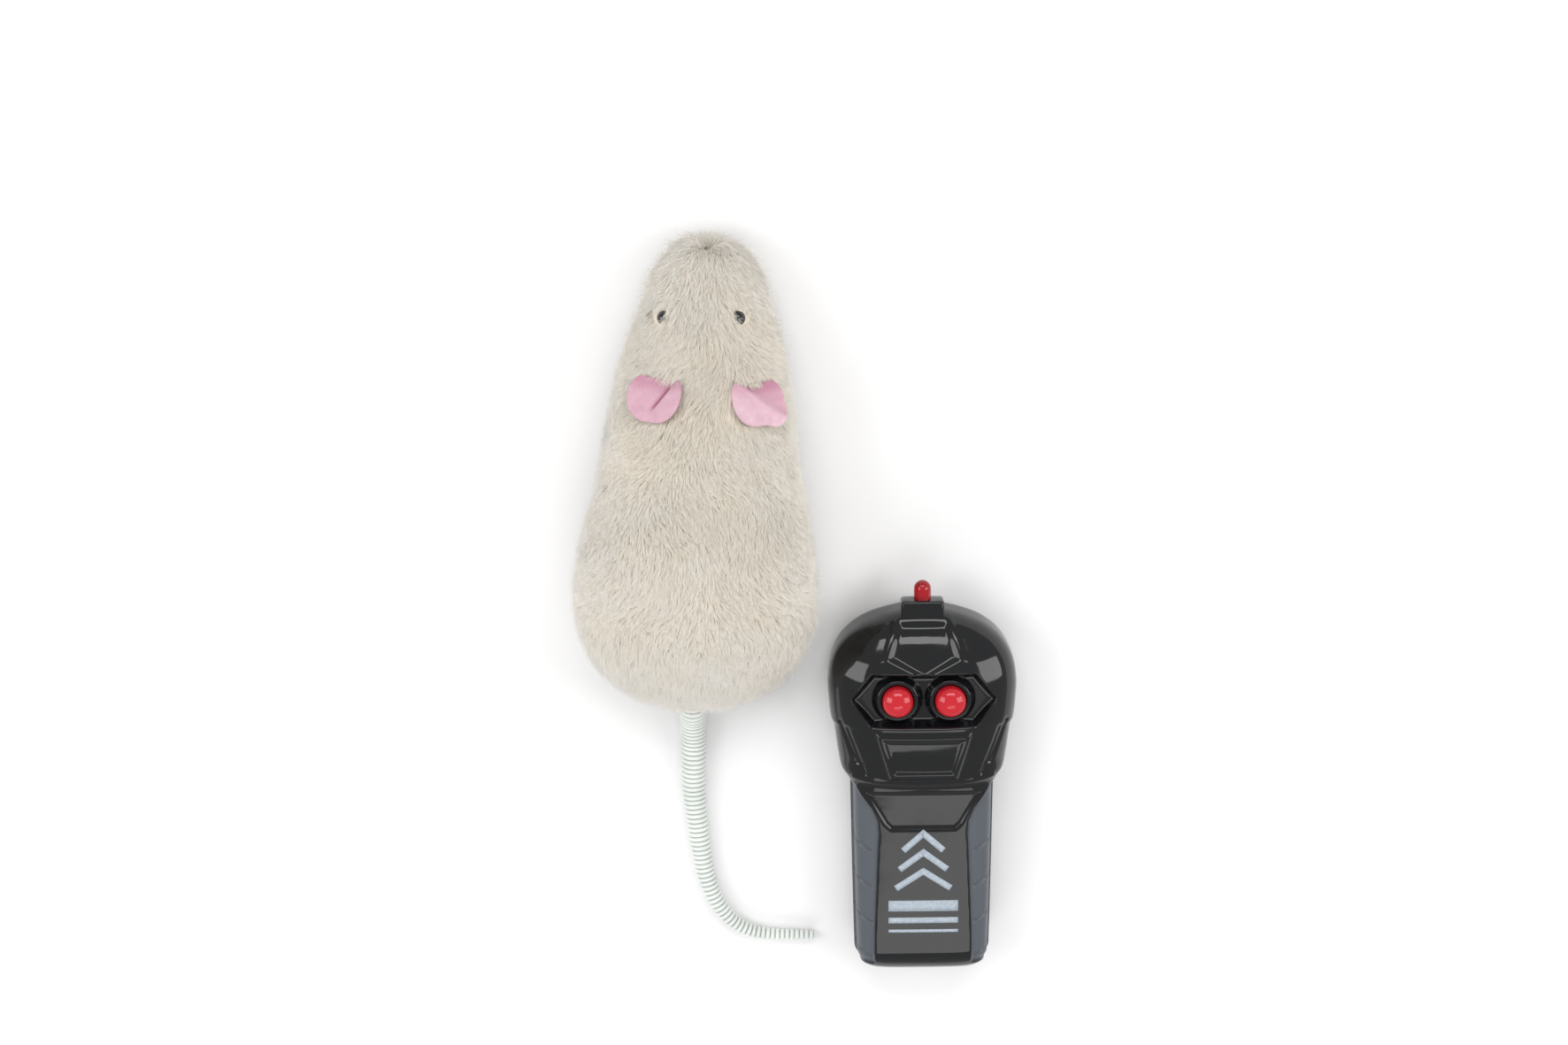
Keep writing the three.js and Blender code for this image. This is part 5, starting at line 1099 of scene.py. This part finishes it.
# Collars: cones moulded with the shell, each with a rounded rim and a real bore
SIDES = ((-1, "left"), (1, "right"))
bore = BUTTON_RADIUS + 0.22
collar_profile = [(bore, -0.9), (COLLAR_BASE + 0.5, -0.9), (COLLAR_BASE + 0.4, 0.15), (COLLAR_BASE, 0.45)]
collar_profile += arc((COLLAR_TOP - 0.05, COLLAR_HIGH - 0.5), 0.5, 12, 90, 6)
collar_profile += arc((bore + 0.35, COLLAR_HIGH - 0.35), 0.35, 90, 180, 6) + [(bore, -0.9)]
for side, label in SIDES:
    collar = spun(f"{label}_collar", collar_profile, shell_abs)
    set_down(moved(collar, side * BUTTON_X, BUTTON_Y, RECESS_FLOOR), "remote", "shell_black")

# Buttons: glossy red caps that stand in the collars, domed and slightly flattened on top
# Red ABS: tinted through and polished, a little light gets under its skin
button_red, tree, shader = material("polished red ABS", "#c01f2b", 0.09, Subsurface_Weight=0.2,
                                    Subsurface_Radius=(1.0, 0.15, 0.1), Subsurface_Scale=0.8 * MM)
gleam(tree, shader, 2.5, 0.05, 0.13, spread=(0.35, 0.7))
cap_foot = RECESS_FLOOR - SHELL_WALL - 0.1
cap_top = RECESS_FLOOR + COLLAR_HIGH + BUTTON_PROUD
cap_profile = [(0, cap_foot - 1), (5.3, cap_foot - 1), (5.3, cap_foot), (BUTTON_RADIUS, cap_foot)]
cap_profile += [(BUTTON_RADIUS * math.cos(turn), cap_top + BUTTON_DOME * math.sin(turn))
                for turn in np.linspace(0, math.pi / 2, 18)[:-1]] + [(0, cap_top + BUTTON_DOME)]
for side, label in SIDES:
    cap = moved(spun(f"{label}_cap", cap_profile, button_red), side * BUTTON_X, BUTTON_Y, 0)
    set_down(cap, f"remote_{label}_button", "button_red", f"{label}_button")


def bevelled_box(name, low, high, finish, width, segments=3):
    """A box by its corners, its edges rounded over."""
    bpy.ops.object.select_all(action="DESELECT")
    middle = [(a + b) / 2 * MM for a, b in zip(low, high)]
    bpy.ops.mesh.primitive_cube_add(size=1, location=middle, scale=[(b - a) * MM for a, b in zip(low, high)])
    piece = bpy.context.object
    piece.name = piece.data.name = name
    bpy.ops.object.transform_apply(location=True, rotation=False, scale=True)
    if width:
        modify(piece, "BEVEL", width=width * MM, segments=segments, limit_method="ANGLE")
    piece.data.materials.append(finish)
    smooth_shade(piece)
    return piece


def carve(piece, cutter):
    """Takes one piece out of another and clears it away."""
    modify(piece, "BOOLEAN", operation="DIFFERENCE", object=cutter, solver="EXACT")
    bpy.data.objects.remove(cutter, do_unlink=True)


def cylinder(name, radius, low, high, place, finish=None, sides=48, lying=False):
    """A plain round bar between two heights, upright or lying along the remote."""
    bpy.ops.object.select_all(action="DESELECT")
    bpy.ops.mesh.primitive_cylinder_add(vertices=sides, radius=radius * MM, depth=(high - low) * MM)
    piece = bpy.context.object
    piece.name = piece.data.name = name
    piece.data.transform(Matrix.Translation((0, 0, (low + high) / 2 * MM)))
    if lying:
        piece.data.transform(Matrix.Rotation(-math.pi / 2, 4, "X"))
    piece.data.transform(Matrix.Translation(Vector(place) * MM))
    if finish:
        piece.data.materials.append(finish)
    return piece


# Tab for the indicator, with the hole that its lens looks out of
TAB_HALF, TAB_FROM, TAB_OUT, TAB_LOW, TAB_HIGH = 6.3, 105, 3.3, 0.2, 7.2
LENS_RADIUS, LENS_OUT, LENS_IN = 2.5, 5.6, 8
lens_z = PARTING + (TAB_LOW + TAB_HIGH) / 2
tab = bevelled_box("indicator_tab", (-TAB_HALF, TAB_FROM, PARTING + TAB_LOW),
                   (TAB_HALF, REMOTE_LONG + TAB_OUT, PARTING + TAB_HIGH), shell_abs, 0.9, 4)
carve(tab, cylinder("lens_hole", LENS_RADIUS + 0.1, 0, 20, (0, 100, lens_z), lying=True))
smooth_shade(tab)
set_down(tab, "remote", "shell_black")

# Clear red acrylic: a moulded rod with a domed end, darker where one looks along it
clear_red, tree, shader = material("clear red acrylic", "#c31424", 0.05, Transmission_Weight=0.55, IOR=1.49)
gleam(tree, shader, 1.5, 0.03, 0.09, 2)
lens_tip = REMOTE_LONG + TAB_OUT + LENS_OUT - LENS_RADIUS
lens_profile = [(0, REMOTE_LONG - LENS_IN), (3.1, REMOTE_LONG - LENS_IN), (3.1, REMOTE_LONG - LENS_IN + 1),
                (LENS_RADIUS, REMOTE_LONG - LENS_IN + 1)]
lens_profile += [(LENS_RADIUS * math.cos(turn), lens_tip + LENS_RADIUS * math.sin(turn))
                 for turn in np.linspace(0, math.pi / 2, 12)[:-1]] + [(0, lens_tip + LENS_RADIUS)]
lens = spun("indicator_rod", lens_profile, clear_red, 48)
lens.data.transform(Matrix.Translation((0, 0, lens_z * MM)) @ Matrix.Rotation(-math.pi / 2, 4, "X"))
set_down(lens, "remote", "button_red", "indicator_lens")

# Rear shell: the back half of the body, hollow, with its battery hatch and its two sunk screw holes
DOOR_HALF, DOOR_FROM, DOOR_TO, DOOR_RAIL, DOOR_TOP = 15.6, 3.5, 58.9, 1.2, 1.55
REAR_SCREW_X, REAR_SCREW_Y = 19.6, 84
rear_y = np.linspace(0, REMOTE_LONG, 150)
rear = capped(remote_point(rear_y[:, None], np.linspace(math.pi, 2 * math.pi, 92)[None, :]))
rear[..., 2] = np.minimum(rear[..., 2], PARTING)
back = new_piece("rear_shell_moulding", rear.reshape(-1, 3), grid_faces(*rear.shape[:2]), shell_abs)
merge(back)
modify(back, "SOLIDIFY", thickness=SHELL_WALL * MM, offset=-1)
carve(back, bevelled_box("hatch", (-DOOR_HALF, -2, -2), (DOOR_HALF, DOOR_TO, DOOR_TOP), shell_abs, 0))
carve(back, bevelled_box("bay_mouth", (DOOR_RAIL - DOOR_HALF, DOOR_FROM + DOOR_RAIL, 0),
                         (DOOR_HALF - DOOR_RAIL, DOOR_TO - DOOR_RAIL, 4), shell_abs, 0))
for side in (-1, 1):
    carve(back, cylinder("screw_sink", 2.6, -2, 3, (side * REAR_SCREW_X, REAR_SCREW_Y, 0)))
smooth_shade(back)
set_down(back, "remote", "shell_black", "remote_rear_shell")


# Print: silver-grey ink, pad printed on the grip, a hair proud of it: plain arrowheads over a block of bars
print_ink, tree, shader = material("silver-grey pad print", "#a9b4be", 0.42)
ink_tone = clouded(tree, "#9aa5b0", "#b6c1ca", 0.8, 4, 0.7, (0.35, 0.7))
tree.links.new(ink_tone, shader.inputs["Base Color"])
INK_HIGH = 0.05


def stroke(name, path, width, steps=14):
    """A band of ink along straight runs between points, laid on the grip's front."""
    left, right = [], []
    path = [np.array(point, float) for point in path]
    for number, (a, b) in enumerate(zip(path, path[1:])):
        way = (b - a) / np.linalg.norm(b - a)
        for step in range(steps + 1 if number == len(path) - 2 else steps):
            at = a + (b - a) * step / steps
            side = np.array([-way[1], way[0]])
            if step == 0 and number:
                before = (a - path[number - 1]) / np.linalg.norm(a - path[number - 1])
                side = side + np.array([-before[1], before[0]])
                side = side / (1 + way @ before)
            left.append(at + side * width / 2)
            right.append(at - side * width / 2)
    rows = np.stack([np.array(right), np.array(left)], 1)
    height = front_height(rows[..., 0], rows[..., 1]) + INK_HIGH
    points = np.concatenate([rows, height[..., None]], -1)
    band = new_piece(name, points.reshape(-1, 3), grid_faces(*points.shape[:2]), print_ink)
    modify(band, "SOLIDIFY", thickness=2 * INK_HIGH * MM, offset=0)
    return set_down(band, "remote", "shell_black")


# Feet and half widths of the arrowheads, then heights and widths of the bars
ARROWS, ARROW_RISE, ARROW_WIDTH = [(27, 8.2), (33, 7.1), (39, 6.0)], 5.4, 1.9
BARS, BAR_REACH = [(21.4, 3.4), (16.8, 1.8), (13.4, 0.9)], 10.4
for number, (foot, reach) in enumerate(ARROWS, 1):
    stroke(f"print_arrow_{number}", [(-reach, foot), (0, foot + ARROW_RISE), (reach, foot)], ARROW_WIDTH)
for number, (y, width) in enumerate(BARS, 1):
    stroke(f"print_bar_{number}", [(-BAR_REACH, y), (BAR_REACH, y)], width)


# What keeps its solid's shape gets its real finish here
def dress(finish, *names):
    """Gives a finish to solids that are shown as they are."""
    for name in names:
        for place in nodes[name].material_slots:
            place.material = finish


# Textured ABS: moulded in a spark-eroded tool, whose fine pits scatter the light and hide scuffs
textured_abs, tree, shader = material("spark-eroded black ABS", "#1f2123", 0.55)
bump(tree, shader, grain(tree, 0.28, 4, 0.7), 0.06)
gleam(tree, shader, 4, 0.48, 0.66)
tree.links.new(clouded(tree, "#1c1e20", "#26282b", 11), shader.inputs["Base Color"])
dress(textured_abs, "upper_housing", "chassis_tray", "caster_fork", "mouse_battery_door",
      "remote_battery_door")

# Natural acetal: waxy and a little see-through at its edges, with a satin skin from the mould
acetal, tree, shader = material("natural acetal", "#e6e3d8", 0.36, Subsurface_Weight=0.25,
                                Subsurface_Radius=(1.0, 0.9, 0.7), Subsurface_Scale=0.8 * MM)
gleam(tree, shader, 1.6, 0.3, 0.44)
dress(acetal, "idler_gear", "axle_gear", "gearbox_plate", "left_hub", "right_hub", "switch_slider")

# Ground steel: fine rings left by the grinding wheel, across the rod
ground_steel, tree, shader = material("centreless-ground steel rod", "#c3c6c9", 0.24, Metallic=1.0)
bump(tree, shader, bands(tree, 0.35, 1.0, bands_direction="X"), 0.01, 0.4)
gleam(tree, shader, 1.2, 0.18, 0.32)
dress(ground_steel, "motor_shaft", "idler_pin", "rear_axle", "caster_pin")

# Plated steel: bright zinc over rolled sheet and cold-headed screws, with a faint cloudiness
plated, tree, shader = material("bright zinc-plated steel", "#b9bdc2", 0.28, Metallic=1.0)
tree.links.new(clouded(tree, "#aeb3b9", "#c6c9cc", 2.4, 4), shader.inputs["Base Color"])
gleam(tree, shader, 0.9, 0.2, 0.38)
dress(plated, "motor", "power_switch", "door_screw", "front_chassis_screw", "rear_chassis_screw",
      "remote_screw_left", "remote_screw_right")

# Nickel plate: spring sheet for the contacts, warmer and smoother than zinc
nickel, tree, shader = material("nickel-plated spring steel", "#c8c2b6", 0.2, Metallic=1.0)
gleam(tree, shader, 1.1, 0.14, 0.28)
dress(nickel, "mouse_rear_contact", "mouse_front_contact", "remote_rear_contact", "remote_front_contact")

# Turned brass: bar stock cut on a lathe, its shine a little uneven
turned_brass, tree, shader = material("turned brass", "#c9a45a", 0.3, Metallic=1.0)
gleam(tree, shader, 0.5, 0.2, 0.36)
dress(turned_brass, "motor_pinion")

# Tyre rubber: moulded and unpolished, dusty grey where it has rolled
tyre_rubber, tree, shader = material("moulded tyre rubber", "#1d1d1d", 0.8)
dusty = clouded(tree, "#1a1a1a", "#2c2b29", 3.2, 4, spread=(0.35, 0.75))
tree.links.new(dusty, shader.inputs["Base Color"])
bump(tree, shader, grain(tree, 0.3, 3), 0.04)
dress(tyre_rubber, "left_tyre", "right_tyre", "caster_wheel")

# Silicone: the key mat under the buttons, dull and slightly soft
silicone, tree, shader = material("moulded silicone", "#3a3c3e", 0.62, Subsurface_Weight=0.1,
                                  Subsurface_Scale=MM)
gleam(tree, shader, 2.2, 0.56, 0.7)
dress(silicone, "button_pad")

# Cell: a shrunk plastic sleeve in blotched blue, and bare plated ends
cell_sleeve, tree, shader = material("shrunk sleeve over a plated can", "#3b4c63", 0.3)
normal = add(tree, "ShaderNodeNewGeometry").outputs["Normal"]
along = add(tree, "ShaderNodeSeparateXYZ", {"Vector": normal}).outputs["Y"]
bare = ramp(tree, add(tree, "ShaderNodeMath", {0: along}, operation="ABSOLUTE").outputs[0], 0.7, 0.8)
sleeve = clouded(tree, "#37475d", "#42546d", 8, 2)
tree.links.new(mixed(tree, bare, sleeve, "#c6c8ca"), shader.inputs["Base Color"])
tree.links.new(bare, shader.inputs["Metallic"])
gleam(tree, shader, 5, 0.22, 0.36)
dress(cell_sleeve, "mouse_cell_1", "mouse_cell_2", "mouse_cell_3", "remote_cell_1", "remote_cell_2")

# Board: green solder mask over glass cloth, with tracks a shade lighter under it
solder_mask, tree, shader = material("green solder mask", "#1f5a38", 0.34)
place = add(tree, "ShaderNodeTexCoord").outputs["Object"]
tracks = add(tree, "ShaderNodeTexVoronoi", {"Vector": place, "Scale": 1 / (2.6 * MM), "Randomness": 0.7},
             distance="MANHATTAN", feature="F1").outputs["Distance"]
tree.links.new(mixed(tree, ramp(tree, tracks, 0.42, 0.5), "#1d5434", "#2f7a4d"), shader.inputs["Base Color"])
bump(tree, shader, bands(tree, 0.75), 0.02)
gleam(tree, shader, 3, 0.28, 0.42)
dress(solder_mask, "receiver_board", "remote_board")

# Moulded epoxy: the black body of a chip, matt with a fine filler grain
epoxy, tree, shader = material("moulded epoxy", "#222325", 0.7)
bump(tree, shader, grain(tree, 0.15, 2), 0.02)
gleam(tree, shader, 1.4, 0.62, 0.78)
dress(epoxy, "receiver_chip", "remote_chip")


def wire_sleeve(name, low, high, *pieces):
    """Extruded PVC insulation: a smooth skin that shines along the wire."""
    made, tree, shader = material(name, low, 0.35)
    tree.links.new(clouded(tree, low, high, 1.8, 2), shader.inputs["Base Color"])
    gleam(tree, shader, 1.5, 0.28, 0.42)
    dress(made, *pieces)


wire_sleeve("red PVC insulation", "#a81c22", "#bf262c", "motor_lead_red")
wire_sleeve("black PVC insulation", "#17181a", "#222326", "motor_lead_black")
wire_sleeve("white PVC insulation", "#dedcd4", "#efede6", "receiver_aerial", "remote_aerial")
